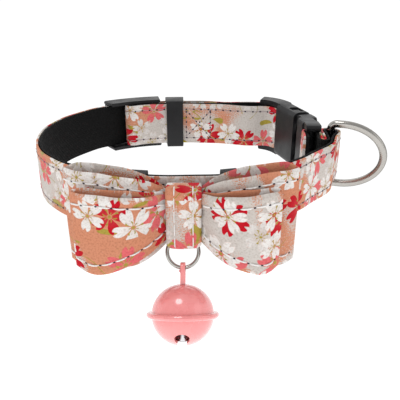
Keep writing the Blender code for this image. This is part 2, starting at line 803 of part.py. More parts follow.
def turned(profile, segments):
    """A solid of revolution about Z from a closed profile of (radius, height) pairs."""
    solid = bmesh.new()
    rows = []
    for radius, height in profile:
        if radius < 1e-7:
            rows.append([solid.verts.new((0, 0, height))])
            continue
        row = []
        for index in range(segments):
            angle = 2 * math.pi * index / segments
            row.append(solid.verts.new((radius * math.cos(angle), radius * math.sin(angle), height)))
        rows.append(row)
    for here, after in zip(rows, rows[1:]):
        for index in range(segments):
            beside = (index + 1) % segments
            ring = [here[index % len(here)], here[beside % len(here)],
                    after[beside % len(after)], after[index % len(after)]]
            corners = list(dict.fromkeys(ring))
            if len(corners) > 2:
                solid.faces.new(corners)
    return solid


def bell_wall_profile(inset):
    """Radius and height down one wall of the bell, a little flattened at its poles."""
    radius, half = bell_radius - inset, bell_height / 2 - inset
    steps = 12
    rows = []
    for index in range(steps + 1):
        angle = math.radians(90 - 180 * index / steps)
        width = radius * abs(math.cos(angle)) ** 0.9 if index not in (0, steps) else 0.0
        rows.append((width, half * math.sin(angle)))
    return rows


def make_bell(material):
    """Hollow bell with a crimped flange, a slot across its foot with round ends, and a hanger."""
    segments = 36
    outer = turned(bell_wall_profile(0.0), segments)
    flange_half = bell_flange_thickness / 2
    flange_radius = bell_flange / 2
    root = bell_radius - bell_wall / 2
    flange = turned([
        (0.0, -flange_half), (root, -flange_half), (flange_radius - bell_lip, -flange_half),
        (flange_radius, bell_lip - flange_half), (flange_radius, flange_half - bell_lip),
        (flange_radius - bell_lip, flange_half), (root, flange_half), (0.0, flange_half)], segments)
    hollow = turned(bell_wall_profile(bell_wall), segments)
    slot = block(
        (-bell_slot_width / 2, bell_slot_width / 2), (-bell_radius, bell_radius),
        (-bell_height, -bell_height / 2 * math.sin(math.radians(bell_hole_angle))))
    drills = []
    for side in (-1, 1):
        drill = bmesh.new()
        bmesh.ops.create_cone(
            drill, cap_ends=True, segments=14, radius1=bell_hole / 2, radius2=bell_hole / 2,
            depth=bell_radius)
        tilt = math.radians(90 - bell_hole_angle)
        spin = Matrix.Rotation(side * (math.pi - tilt), 4, "X")
        reach = Vector((0, 0, bell_radius * 0.95))
        bmesh.ops.transform(drill, matrix=spin @ Matrix.Translation(reach), verts=drill.verts)
        drills.append(drill)
    hanger = hanger_band()
    joined = combine(outer, [flange, hanger], [hollow, slot, *drills])
    bmesh.ops.triangulate(joined, faces=joined.faces)
    bmesh.ops.translate(joined, vec=(0, 0, bell_middle), verts=joined.verts)
    bell = add_mesh("bell", joined, material)
    bell.location = bell_pivot
    return bell


def hanger_band():
    """A flat strip bent over the ring's wire, its two legs ending inside the bell's crown."""
    wire_at = -bell_middle
    half_gap = hanger_inner
    foot = bell_height / 2 - hanger_root
    route = [(-half_gap - 0.5 * hanger_thickness, foot)]
    for index in range(9):
        angle = math.radians(180 - 180 * index / 8)
        radius = half_gap + hanger_thickness / 2
        route.append((radius * math.cos(angle), wire_at + radius * math.sin(angle)))
    route.append((half_gap + 0.5 * hanger_thickness, foot))
    band = bmesh.new()
    rows = []
    last = len(route) - 1
    for index, (y, z) in enumerate(route):
        before, after = route[max(index - 1, 0)], route[min(index + 1, last)]
        ahead = Vector((after[0] - before[0], after[1] - before[1])).normalized()
        side = Vector((ahead.y, -ahead.x)) * hanger_thickness / 2
        row = []
        for across, x in ((1, -1), (1, 1), (-1, 1), (-1, -1)):
            spot = (x * hanger_width / 2, y + side.x * across, z + side.y * across)
            row.append(band.verts.new(spot))
        rows.append(row)
    for here, after in zip(rows, rows[1:]):
        for spot in range(4):
            beside = (spot + 1) % 4
            band.faces.new((here[spot], here[beside], after[beside], after[spot]))
    band.faces.new(rows[0][::-1])
    band.faces.new(rows[-1])
    return band


def make_pellet(material):
    pellet = bmesh.new()
    bmesh.ops.create_icosphere(pellet, subdivisions=2, radius=pellet_diameter / 2)
    floor = bell_middle - bell_height / 2 + bell_wall
    rest = floor + pellet_diameter / 2 + fit_gap
    bmesh.ops.translate(pellet, vec=(0, 0, rest), verts=pellet.verts)
    ball = add_mesh("bell_pellet", pellet, material, 180.0)
    ball.location = bell_pivot
    return ball


def main():
    clear_scene()
    print_cloth = make_material("floral_print_cotton", (0.83, 0.46, 0.32), 0.85)
    bow_cloth = make_material("bow_floral_cotton", (0.86, 0.56, 0.44), 0.85)
    black_webbing = make_material("black_webbing", (0.02, 0.02, 0.022), 0.8)
    black_plastic = make_material("black_plastic", (0.03, 0.03, 0.033), 0.42)
    nickel = make_material("polished_nickel", (0.80, 0.78, 0.75), 0.18, 1.0)
    pink_paint = make_material("pink_bell_paint", (0.88, 0.33, 0.33), 0.25)
    steel = make_material("steel_pellet", (0.6, 0.6, 0.6), 0.3, 1.0)

    collar = bpy.data.objects.new("collar_tilt", None)
    bpy.context.scene.collection.objects.link(collar)
    collar.rotation_euler = (math.radians(forward_tilt), 0, 0)

    tilted = make_strap(print_cloth, black_webbing)
    tilted.append(make_slider(black_plastic))
    tilted.append(make_keeper(black_plastic))
    tilted.append(make_buckle_female(black_plastic))
    tilted.append(make_buckle_male(black_plastic))
    tilted.append(make_d_ring(nickel))
    tilted.append(make_tier(
        "bow_back_tier", BACK_WING, back_wing_left, back_wing_right, back_wing_height, back_wing_depth,
        back_tier_back, back_tier_front, bow_cloth))
    tilted.append(make_tier(
        "bow_front_tier", FRONT_WING, front_wing_left, front_wing_right, front_wing_height,
        front_wing_depth, front_tier_back, front_tier_front, bow_cloth))
    tilted.append(make_knot(bow_cloth))
    tilted.append(make_elastic("bow_elastic_left", -1, black_webbing))
    tilted.append(make_elastic("bow_elastic_right", 1, black_webbing))
    for item in tilted:
        item.parent = collar

    make_knot_ring(nickel)
    make_bell(pink_paint)
    make_pellet(steel)


main()
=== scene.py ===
"""Looks of the pet bow tie collar: printed cotton strap and bow, black hardware, nickel rings, pink bell."""
import json
import math

import bmesh
import bpy
import numpy as np
from mathutils import Matrix, Vector


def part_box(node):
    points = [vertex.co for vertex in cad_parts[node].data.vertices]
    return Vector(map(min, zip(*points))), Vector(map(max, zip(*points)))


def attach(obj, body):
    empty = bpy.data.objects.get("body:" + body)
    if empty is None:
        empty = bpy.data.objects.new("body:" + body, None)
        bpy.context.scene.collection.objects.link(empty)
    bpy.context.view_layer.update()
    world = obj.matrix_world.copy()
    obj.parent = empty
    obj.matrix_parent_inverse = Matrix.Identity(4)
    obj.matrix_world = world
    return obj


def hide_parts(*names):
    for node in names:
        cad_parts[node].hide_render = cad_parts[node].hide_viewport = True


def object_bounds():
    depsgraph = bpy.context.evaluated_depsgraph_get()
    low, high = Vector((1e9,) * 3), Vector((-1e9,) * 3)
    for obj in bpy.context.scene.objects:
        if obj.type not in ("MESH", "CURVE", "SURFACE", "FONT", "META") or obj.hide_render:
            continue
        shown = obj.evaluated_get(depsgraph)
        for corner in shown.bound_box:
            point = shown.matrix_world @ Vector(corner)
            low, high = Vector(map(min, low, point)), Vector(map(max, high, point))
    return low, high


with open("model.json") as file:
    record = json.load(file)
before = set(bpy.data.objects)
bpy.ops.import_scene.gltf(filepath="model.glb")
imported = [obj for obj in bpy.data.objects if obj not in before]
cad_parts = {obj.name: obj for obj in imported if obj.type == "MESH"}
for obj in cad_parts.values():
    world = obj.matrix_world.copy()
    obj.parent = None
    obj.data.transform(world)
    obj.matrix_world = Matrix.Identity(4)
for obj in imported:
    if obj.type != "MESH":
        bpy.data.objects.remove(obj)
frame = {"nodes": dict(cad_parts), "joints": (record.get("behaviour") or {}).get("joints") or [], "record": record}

CAD_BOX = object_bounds()
MM = 0.001
FULL_TURN = 2 * math.pi

# The collar's own frame leans forward of the room's frame, as the axis of its mount says
LEAN_AXIS = Vector(frame["record"]["mounts"][0]["axis"])
LEAN = math.atan2(-LEAN_AXIS.y, LEAN_AXIS.z)
TO_ROOM = Matrix.Rotation(LEAN, 4, "X")
TO_COLLAR = TO_ROOM.inverted()


def node_mesh(name):
    """A copy of a solid's mesh with its doubled corners merged."""
    source = frame["nodes"][name]
    mesh = bmesh.new()
    mesh.from_mesh(source.data)
    bmesh.ops.remove_doubles(mesh, verts=mesh.verts, dist=0.002 * MM)
    return mesh


def new_piece(name, shape, material, degrees):
    """An object made of a built shape, smooth but for the edges that turn more than some degrees."""
    mesh = bpy.data.meshes.new(name)
    shape.to_mesh(mesh)
    shape.free()
    mesh.shade_smooth()
    mesh.set_sharp_from_angle(angle=math.radians(degrees))
    mesh.materials.append(material)
    piece = bpy.data.objects.new(name, mesh)
    bpy.context.scene.collection.objects.link(piece)
    return piece


def select_only(piece):
    bpy.ops.object.select_all(action="DESELECT")
    piece.select_set(True)
    bpy.context.view_layer.objects.active = piece


def apply_all(piece):
    select_only(piece)
    for modifier in list(piece.modifiers):
        bpy.ops.object.modifier_apply(modifier=modifier.name)
    return piece


# Shader tools

class Nodes:
    """Short ways to add and join nodes in one tree."""

    def __init__(self, tree):
        self.tree = tree

    def add(self, kind, **settings):
        node = self.tree.nodes.new(kind)
        for name, value in settings.items():
            setattr(node, name, value)
        return node

    def link(self, source, target):
        self.tree.links.new(source, target)

    def feed(self, socket, value):
        """Sets a socket to a plain value, or joins it to another node's output."""
        if isinstance(value, (int, float, tuple)):
            socket.default_value = value
        else:
            self.link(value, socket)

    def math(self, operation, first, second=0.0, third=None, clamp=False):
        node = self.add("ShaderNodeMath", operation=operation, use_clamp=clamp)
        self.feed(node.inputs[0], first)
        self.feed(node.inputs[1], second)
        if third is not None:
            self.feed(node.inputs[2], third)
        return node.outputs[0]

    def vector(self, operation, first, second=(0.0, 0.0, 0.0), scale=None):
        node = self.add("ShaderNodeVectorMath", operation=operation)
        self.feed(node.inputs[0], first)
        if scale is None:
            self.feed(node.inputs[1], second)
        else:
            self.feed(node.inputs["Scale"], scale)
        return node.outputs["Value"] if operation in ("LENGTH", "DOT_PRODUCT") else node.outputs[0]

    def mix(self, factor, first, second, blend="MIX"):
        """A mix of two colours, which are this node's sockets 6 and 7 in and 2 out."""
        node = self.add("ShaderNodeMix", data_type="RGBA", blend_type=blend)
        self.feed(node.inputs[0], factor)
        self.feed(node.inputs[6], first)
        self.feed(node.inputs[7], second)
        return node.outputs[2]

    def step(self, value, low, high, out_low=0.0, out_high=1.0):
        """A smooth step of a value from one level to another."""
        node = self.add("ShaderNodeMapRange", interpolation_type="SMOOTHSTEP")
        self.feed(node.inputs["Value"], value)
        self.feed(node.inputs["From Min"], low)
        self.feed(node.inputs["From Max"], high)
        self.feed(node.inputs["To Min"], out_low)
        self.feed(node.inputs["To Max"], out_high)
        return node.outputs["Result"]

    def noise(self, vector, scale, detail=2.0, roughness=0.5, distortion=0.0):
        node = self.add("ShaderNodeTexNoise")
        self.feed(node.inputs["Vector"], vector)
        node.inputs["Scale"].default_value = scale
        node.inputs["Detail"].default_value = detail
        node.inputs["Roughness"].default_value = roughness
        node.inputs["Distortion"].default_value = distortion
        return node


def new_group(name, inputs, outputs):
    """An empty node group, with the sockets that it is given and that it gives out."""
    group = bpy.data.node_groups.new(name, "ShaderNodeTree")
    for title, kind, value in inputs:
        socket = group.interface.new_socket(title, in_out="INPUT", socket_type=kind)
        if value is not None:
            socket.default_value = value
    for title, kind in outputs:
        group.interface.new_socket(title, in_out="OUTPUT", socket_type=kind)
    start = group.nodes.new("NodeGroupInput")
    end = group.nodes.new("NodeGroupOutput")
    return group, Nodes(group), start.outputs, end.inputs


def place_group(n, group, **values):
    """A node group set in a tree, with a value or another node's output for each input that is named."""
    node = n.add("ShaderNodeGroup", node_tree=group)
    for title, value in values.items():
        n.feed(node.inputs[title], value)
    return node.outputs


PETALS = 5
STAMENS = 8


def blossom_group():
    """One scatter of blossoms: masks of petals, outlines and stamens, and a number for each flower."""
    group, n, given, out = new_group(
        "blossom_scatter",
        [("Vector", "NodeSocketVector", None), ("Cells", "NodeSocketFloat", 60.0),
         ("Size", "NodeSocketFloat", 0.44), ("Seed", "NodeSocketFloat", 0.0)],
        [("Petals", "NodeSocketFloat"), ("Stamens", "NodeSocketFloat"), ("Number", "NodeSocketFloat"),
         ("Edge", "NodeSocketFloat"), ("Radius", "NodeSocketFloat")])
    seed = n.add("ShaderNodeCombineXYZ")
    n.feed(seed.inputs[0], n.math("MULTIPLY", given["Seed"], 7.31))
    n.feed(seed.inputs[1], n.math("MULTIPLY", given["Seed"], 3.17))
    place = n.vector("ADD", n.vector("SCALE", given["Vector"], scale=given["Cells"]), seed.outputs[0])
    cells = n.add("ShaderNodeTexVoronoi", voronoi_dimensions="2D", feature="F1")
    n.feed(cells.inputs["Vector"], place)
    cells.inputs["Scale"].default_value = 1.0
    cells.inputs["Randomness"].default_value = 0.62
    local = n.vector("SUBTRACT", place, cells.outputs["Position"])
    parts = n.add("ShaderNodeSeparateXYZ")
    n.feed(parts.inputs[0], local)
    colour = n.add("ShaderNodeSeparateColor")
    n.feed(colour.inputs[0], cells.outputs["Color"])
    spin = n.math("MULTIPLY", colour.outputs[0], FULL_TURN)
    angle = n.math("ADD", n.math("ARCTAN2", parts.outputs[1], parts.outputs[0]), spin)
    # How far a place is round its own petal: 0 on the petal's axis, 1 between two petals
    around = n.math("FRACT", n.math("ADD", n.math("MULTIPLY", angle, PETALS / FULL_TURN), 10.0))
    off_axis = n.math("ABSOLUTE", n.math("SUBTRACT", n.math("MULTIPLY", around, 2.0), 1.0))
    radius = n.vector("LENGTH", local)
    size = n.math("MULTIPLY", given["Size"], n.math("ADD", n.math("MULTIPLY", colour.outputs[1], 0.3), 0.82))
    share = n.math("DIVIDE", radius, size)
    spread = n.math("POWER", n.math("MULTIPLY", off_axis, 1.15), 2.6)
    body = n.math("POWER", n.math("SUBTRACT", 1.0, spread, clamp=True), 0.5)
    notch = n.step(off_axis, 0.0, 0.22, 0.22, 0.0)
    reach = n.math("MULTIPLY", n.math("SUBTRACT", 1.0, notch), body)
    inside = n.math("SUBTRACT", reach, share)
    petal = n.math("MULTIPLY", n.step(inside, 0.0, 0.03), n.step(share, 0.10, 0.16))
    n.link(petal, out["Petals"])
    edge = n.math("MULTIPLY", petal, n.step(inside, 0.10, 0.04))
    n.link(edge, out["Edge"])
    # Thin stamens of uneven length, each with a dot at its tip
    ray_angle = n.math("MULTIPLY", angle, float(STAMENS))
    ray = n.step(n.math("COSINE", ray_angle), 0.80, 0.95)
    uneven = n.math("COSINE", n.math("MULTIPLY", angle, 3.0))
    long_ray = n.math("ADD", 0.30, n.math("MULTIPLY", uneven, 0.12))
    ray_end = n.step(n.math("SUBTRACT", long_ray, share), -0.01, 0.02)
    reach_ray = n.math("MULTIPLY", n.step(share, 0.06, 0.09), ray_end)
    tip = n.math("ABSOLUTE", n.math("SUBTRACT", share, long_ray))
    dots = n.math("MULTIPLY", n.step(tip, 0.055, 0.03), n.step(n.math("COSINE", ray_angle), 0.35, 0.6))
    stamen = n.math("MAXIMUM", n.math("MULTIPLY", ray, reach_ray), dots)
    n.link(n.math("MAXIMUM", stamen, n.step(share, 0.085, 0.06)), out["Stamens"])
    n.link(colour.outputs[2], out["Number"])
    n.link(share, out["Radius"])
    return group


def weave_group():
    """Plain weave: crossing threads, as a height and a mask of painted shade that is low in the gaps between
    threads, made uneven by a noise.
    """
    group, n, given, out = new_group(
        "plain_weave",
        [("Vector", "NodeSocketVector", None), ("Threads", "NodeSocketFloat", 2600.0)],
        [("Height", "NodeSocketFloat"), ("Mask", "NodeSocketFloat")])
    place = n.vector("SCALE", given["Vector"], scale=given["Threads"])
    parts = n.add("ShaderNodeSeparateXYZ")
    n.feed(parts.inputs[0], place)
    across, along = parts.outputs[0], parts.outputs[1]
    warp = n.math("ABSOLUTE", n.math("SINE", n.math("MULTIPLY", across, math.pi)))
    weft = n.math("ABSOLUTE", n.math("SINE", n.math("MULTIPLY", along, math.pi)))
    row = n.math("FLOOR", across)
    column = n.math("FLOOR", along)
    over = n.math("PINGPONG", n.math("ADD", row, column), 1.0)
    height = n.math("ADD", n.math("MULTIPLY", warp, over),
                    n.math("MULTIPLY", weft, n.math("SUBTRACT", 1.0, over)))
    n.link(height, out["Height"])
    # The mask is partly painted shade, low in the gaps between threads, and partly uneven thread tone from a
    # noise.
    uneven = n.noise(given["Vector"], 900.0, 2.0)
    n.link(n.math("MULTIPLY", height, uneven.outputs[0]), out["Mask"])
    return group


# Scatters of blossoms, the lowest first: name, flowers a metre, size, seed, the share of them that is left
# out, the petals' colour and the flower's middle
BLOSSOMS = (
    ("far_white", 80.0, 0.46, 5.0, 0.66, (0.66, 0.64, 0.62, 1.0), (0.58, 0.51, 0.47, 1.0)),
    ("red", 70.0, 0.46, 9.0, 0.50, (0.50, 0.003, 0.014, 1.0), (0.54, 0.03, 0.04, 1.0)),
    ("white", 84.0, 0.51, 2.0, 0.44, (0.76, 0.75, 0.73, 1.0), (0.70, 0.65, 0.62, 1.0)),
)
PALE_RED = (0.74, 0.17, 0.18, 1.0)
PETAL_OUTLINE = (0.74, 0.42, 0.32, 1.0)
GOLD = (0.36, 0.29, 0.05, 1.0)


def print_group(blossoms):
    """A cherry blossom print: two ground colours in clouds, gold lines and leaves, scatters of blossoms."""
    group, n, given, out = new_group(
        "cherry_blossom_print", [("Vector", "NodeSocketVector", None)],
        [("Color", "NodeSocketColor"), ("Gold", "NodeSocketFloat")])
    cloth = given["Vector"]
    wobble = n.noise(cloth, 160.0, 2.0)
    jitter = n.vector("SCALE", n.vector("SUBTRACT", wobble.outputs["Color"], (0.5, 0.5, 0.5)), scale=0.0011)
    spot = n.vector("ADD", cloth, jitter)
    cloud = n.noise(spot, 42.0, 1.2, 0.45, 0.6)
    grain = n.noise(cloth, 2300.0, 1.0)
    speckle = n.math("MULTIPLY", n.math("SUBTRACT", grain.outputs[0], 0.5), 0.30)
    patch = n.step(n.math("ADD", cloud.outputs[0], speckle), 0.49, 0.55)
    shade = n.noise(cloth, 75.0, 2.0)
    peach = n.mix(shade.outputs[0], (0.57, 0.22, 0.12, 1.0), (0.63, 0.29, 0.18, 1.0))
    cream = n.mix(shade.outputs[0], (0.60, 0.58, 0.55, 1.0), (0.54, 0.49, 0.45, 1.0))
    ground = n.mix(patch, peach, cream)
    contour = n.noise(spot, 62.0, 0.6, 0.4, 0.4)
    line = n.step(n.math("ABSOLUTE", n.math("SUBTRACT", contour.outputs[0], 0.47)), 0.0075, 0.0035)
    stretch = n.noise(cloth, 55.0, 1.0)
    line = n.math("MULTIPLY", line, n.step(stretch.outputs[0], 0.53, 0.57))
    dab = n.noise(n.vector("MULTIPLY", spot, (1.0, 2.4, 1.0)), 95.0, 0.5)
    line = n.math("MAXIMUM", line, n.step(dab.outputs[0], 0.70, 0.725))
    ground = n.mix(line, ground, GOLD)
    gilt = line
    for name, cells, size, seed, rare, colour, middle in BLOSSOMS:
        flower = place_group(n, blossoms, Vector=spot, Cells=cells, Size=size, Seed=seed)
        chosen = n.step(flower["Number"], rare, rare + 0.02)
        petal = n.math("MULTIPLY", flower["Petals"], chosen)
        tone = n.mix(n.step(flower["Radius"], 0.15, 0.75), middle, colour)
        if name == "red":
            paler = n.step(flower["Number"], 0.80, 0.81)
            tone = n.mix(n.math("MULTIPLY", paler, 0.8), tone, PALE_RED)
        else:
            tone = n.mix(n.math("MULTIPLY", flower["Edge"], 0.25), tone, PETAL_OUTLINE)
        ground = n.mix(petal, ground, tone)
        gilt = n.math("MULTIPLY", gilt, n.math("SUBTRACT", 1.0, petal))
        stamen = n.math("MULTIPLY", flower["Stamens"], chosen)
        ground = n.mix(stamen, ground, GOLD)
        gilt = n.math("MAXIMUM", gilt, stamen)
    n.link(ground, out["Color"])
    n.link(gilt, out["Gold"])
    return group


def principled(name):
    """A new material, with the tools for its nodes and its shader."""
    material = bpy.data.materials.new(name)
    material.use_nodes = True
    return material, Nodes(material.node_tree), material.node_tree.nodes["Principled BSDF"]


def bump(n, height, strength, distance, normal=None):
    """A normal that follows a height, over another normal if one is given."""
    node = n.add("ShaderNodeBump")
    n.feed(node.inputs["Height"], height)
    node.inputs["Strength"].default_value = strength
    node.inputs["Distance"].default_value = distance
    if normal is not None:
        n.link(normal, node.inputs["Normal"])
    return node.outputs[0]


def printed_cotton(name, groups, shift, turn=(1.0, 1.0, 1.0)):
    """Cotton with the blossom print, on the piece's own UV map in metres."""
    material, n, shader = principled(name)
    cloth = n.add("ShaderNodeUVMap", uv_map="cloth").outputs[0]
    moved = n.vector("ADD", n.vector("MULTIPLY", cloth, turn), shift)
    pattern = place_group(n, groups["print"], Vector=moved)
    weave = place_group(n, groups["weave"], Vector=cloth, Threads=2400.0)
    fleck = n.noise(cloth, 1500.0, 2.0)
    dusk = n.step(fleck.outputs[0], 0.42, 0.75, 0.0, 0.55)
    colour = n.mix(dusk, pattern["Color"], (0.60, 0.52, 0.48, 1.0), "MULTIPLY")
    # Painted shade between the threads: the cloth is a little darker where the weave's mask is low.
    colour = n.mix(n.math("SUBTRACT", 1.0, weave["Mask"]), colour, (0.90, 0.88, 0.87, 1.0), "MULTIPLY")
    pale = n.step(fleck.outputs["Color"], 0.62, 0.75, 0.0, 0.10)
    colour = n.mix(pale, colour, (0.88, 0.82, 0.78, 1.0))
    n.link(colour, shader.inputs["Base Color"])
    n.link(n.math("SUBTRACT", 0.86, n.math("MULTIPLY", pattern["Gold"], 0.45)), shader.inputs["Roughness"])
    n.link(n.math("MULTIPLY", pattern["Gold"], 0.55), shader.inputs["Metallic"])
    shader.inputs["Sheen Weight"].default_value = 0.04
    shader.inputs["Sheen Roughness"].default_value = 0.5
    shader.inputs["Specular IOR Level"].default_value = 0.12
    crease = n.noise(cloth, 130.0, 3.0)
    normal = bump(n, crease.outputs[0], 0.25, 0.0006)
    n.link(bump(n, weave["Height"], 0.35, 0.00008, normal), shader.inputs["Normal"])
    return material


def woven_webbing(name, groups):
    """Black webbing with a coarse weave and a little fluff, on the piece's own UV map in metres."""
    material, n, shader = principled(name)
    cloth = n.add("ShaderNodeUVMap", uv_map="cloth").outputs[0]
    weave = place_group(n, groups["weave"], Vector=cloth, Threads=1100.0)
    fluff = n.noise(cloth, 500.0, 3.0)
    # Painted shade between the threads, partly uneven thread tone: the webbing is darker where the weave's mask is
    # low.
    colour = n.mix(weave["Mask"], (0.003, 0.003, 0.003, 1.0), (0.010, 0.010, 0.010, 1.0))
    colour = n.mix(n.step(fluff.outputs[0], 0.5, 0.8, 0.0, 0.5), colour, (0.014, 0.014, 0.014, 1.0))
    n.link(colour, shader.inputs["Base Color"])
    n.link(n.step(fluff.outputs[0], 0.3, 0.7, 0.66, 0.9), shader.inputs["Roughness"])
    shader.inputs["Specular IOR Level"].default_value = 0.1
    n.link(bump(n, weave["Height"], 0.6, 0.00025), shader.inputs["Normal"])
    return material


def elastic_band(name, groups):
    """Black knitted elastic."""
    material, n, shader = principled(name)
    place = n.add("ShaderNodeTexCoord").outputs["Object"]
    weave = place_group(n, groups["weave"], Vector=place, Threads=1500.0)
    # Painted shade between the threads, partly uneven thread tone: the elastic is darker where the weave's mask is
    # low.
    colour = n.mix(weave["Mask"], (0.006, 0.006, 0.007, 1.0), (0.03, 0.03, 0.032, 1.0))
    n.link(colour, shader.inputs["Base Color"])
    shader.inputs["Roughness"].default_value = 0.8
    n.link(bump(n, weave["Height"], 0.6, 0.0002), shader.inputs["Normal"])
    return material


def wear_group():
    """Fine scratches and smudges, from object coordinates."""
    group, n, given, out = new_group(
        "handling_wear",
        [("Vector", "NodeSocketVector", None), ("Grain", "NodeSocketFloat", 1500.0)],
        [("Smudge", "NodeSocketFloat"), ("Grain", "NodeSocketFloat"), ("Scratch", "NodeSocketFloat")])
    smudge = n.noise(given["Vector"], 120.0, 4.0, 0.6)
    n.link(n.step(smudge.outputs[0], 0.35, 0.7), out["Smudge"])
    grain = n.noise(n.vector("SCALE", given["Vector"], scale=given["Grain"]), 1.0, 2.0)
    n.link(grain.outputs[0], out["Grain"])
    scratch = n.noise(n.vector("MULTIPLY", given["Vector"], (2600.0, 2600.0, 90.0)), 1.0, 2.0)
    n.link(n.step(scratch.outputs[0], 0.68, 0.74), out["Scratch"])
    return group


def worn(n, groups, grain):
    """The wear group on a piece's object coordinates, with a grain of its own fineness."""
    place = n.add("ShaderNodeTexCoord").outputs["Object"]
    return place_group(n, groups["wear"], Vector=place, Grain=grain)


def darker(colour, share):
    return tuple(share * part for part in colour[:3]) + (1.0,)


def moulded_plastic(name, groups):
    """Black plastic with the fine grain of its mould."""
    material, n, shader = principled(name)
    wear = worn(n, groups, 4200.0)
    colour = n.mix(wear["Smudge"], (0.004, 0.004, 0.005, 1.0), (0.008, 0.008, 0.009, 1.0))
    colour = n.mix(n.math("MULTIPLY", wear["Scratch"], 0.25), colour, (0.05, 0.05, 0.052, 1.0))
    n.link(colour, shader.inputs["Base Color"])
    n.link(n.math("ADD", 0.40, n.math("MULTIPLY", wear["Smudge"], 0.14)), shader.inputs["Roughness"])
    shader.inputs["Specular IOR Level"].default_value = 0.28
    n.link(bump(n, wear["Grain"], 0.22, 0.00012), shader.inputs["Normal"])
    return material


def plated_metal(name, groups, colour, roughness):
    """Bright metal that dulls in smudges."""
    material, n, shader = principled(name)
    wear = worn(n, groups, 2600.0)
    smudged = n.math("MULTIPLY", wear["Smudge"], 0.5)
    n.link(n.mix(smudged, colour, darker(colour, 0.82)), shader.inputs["Base Color"])
    rough = n.math("ADD", roughness, n.math("MULTIPLY", wear["Smudge"], 0.07))
    n.link(n.math("ADD", rough, n.math("MULTIPLY", wear["Scratch"], 0.10)), shader.inputs["Roughness"])
    shader.inputs["Metallic"].default_value = 1.0
    shader.inputs["Specular Tint"].default_value = (0.30, 0.29, 0.28, 1.0)
    n.link(bump(n, wear["Grain"], 0.05, 0.0001), shader.inputs["Normal"])
    return material


def bell_paint(name, groups):
    """Pink baked paint under a clear glossy coat."""
    material, n, shader = principled(name)
    wear = worn(n, groups, 1400.0)
    colour = n.mix(wear["Smudge"], (0.82, 0.25, 0.25, 1.0), (0.84, 0.28, 0.275, 1.0))
    colour = n.mix(n.math("MULTIPLY", wear["Scratch"], 0.12), colour, (0.92, 0.55, 0.52, 1.0))
    n.link(colour, shader.inputs["Base Color"])
    n.link(n.math("ADD", 0.24, n.math("MULTIPLY", wear["Smudge"], 0.08)), shader.inputs["Roughness"])
    shader.inputs["Coat Weight"].default_value = 1.0
    shader.inputs["Coat Roughness"].default_value = 0.05
    n.link(bump(n, wear["Grain"], 0.04, 0.0002), shader.inputs["Normal"])
    return material


def thread(name, groups, colour):
    """Matt twisted thread."""
    material, n, shader = principled(name)
    wear = worn(n, groups, 5200.0)
    n.link(n.mix(wear["Grain"], darker(colour, 0.6), colour), shader.inputs["Base Color"])
    n.link(n.math("ADD", 0.7, n.math("MULTIPLY", wear["Smudge"], 0.15)), shader.inputs["Roughness"])
    n.link(bump(n, wear["Grain"], 0.4, 0.0001), shader.inputs["Normal"])
    return material


# The strap's cloth, read from its solid

STRAP_EDGE = 10.0 * MM
COVER_THICKNESS = 1.0 * MM
WEBBING_GAP = 0.3 * MM
WEBBING_THICKNESS = 1.0 * MM
FINE_STEP = 0.4 * MM


def band_edges(name):
    """The two faces of a strap band as lines in the collar's plan, from end to end.

    The band's upper edge is a strip, whose outline runs along one face, round an end and back.
    """
    mesh = node_mesh(name)
    mesh.transform(TO_COLLAR)
    mesh.normal_update()
    top = [face for face in mesh.faces if face.normal.z > 0.9]
    in_top = set(top)
    rim = {}
    for face in top:
        for edge in face.edges:
            if any(other not in in_top for other in edge.link_faces):
                first, second = edge.verts
                rim.setdefault(first, []).append(second)
                rim.setdefault(second, []).append(first)
    start = next(iter(rim))
    loop, before, here = [start], None, start
    while True:
        step = next(corner for corner in rim[here] if corner is not before)
        if step is start:
            break
        loop.append(step)
        before, here = here, step
    points = [corner.co.xy.copy() for corner in loop]
    count = len(points)

    def straightness(index):
        """1 where the outline runs straight on, 0 at a square corner."""
        into = (points[index] - points[index - 1]).normalized()
        away = (points[(index + 1) % count] - points[index]).normalized()
        return into.dot(away)

    def is_end(index):
        beside = (index + 1) % count
        short = (points[beside] - points[index]).length < 1.5 * COVER_THICKNESS
        return short and abs(straightness(index)) < 0.3 and abs(straightness(beside)) < 0.3

    end = next(index for index in range(count) if is_end(index))
    ordered = [points[(end + 1 + k) % count] for k in range(count)]
    half = count // 2
    mesh.free()
    return ordered[:half], ordered[half:][::-1]


def lengths_along(line):
    """How far along a line each of its points stands."""
    lengths = [0.0]
    for before, after in zip(line, line[1:]):
        lengths.append(lengths[-1] + (after - before).length)
    return lengths


def finer(left, right, parts):
    """Two side lines with more points between their own, along smooth curves, and the lengths along them."""
    lengths = lengths_along([(first + second) / 2 for first, second in zip(left, right)])
    places = []
    for before, after in zip(lengths, lengths[1:]):
        count = max(1, min(parts, math.ceil((after - before) / FINE_STEP)))
        places += [before + (after - before) * k / count for k in range(count)]
    places.append(lengths[-1])
    lines = []
    for series in (left, right):
        xs = smooth_series(lengths, [p.x for p in series], places)
        ys = smooth_series(lengths, [p.y for p in series], places)
        lines.append([Vector(pair) for pair in zip(xs, ys)])
    return np.array(places), lines[0], lines[1]


def smooth_series(knots, values, places):
    """Cubic reading of a series through its values."""
    knots, values, places = np.array(knots), np.array(values), np.array(places)
    slope = np.gradient(values, knots)
    index = np.clip(np.searchsorted(knots, places) - 1, 0, len(knots) - 2)
    span = knots[index + 1] - knots[index]
    share = (places - knots[index]) / span
    square, cube = share ** 2, share ** 3
    return ((2 * cube - 3 * square + 1) * values[index] + (cube - 2 * square + share) * span * slope[index]
            + (3 * square - 2 * cube) * values[index + 1] + (cube - square) * span * slope[index + 1])


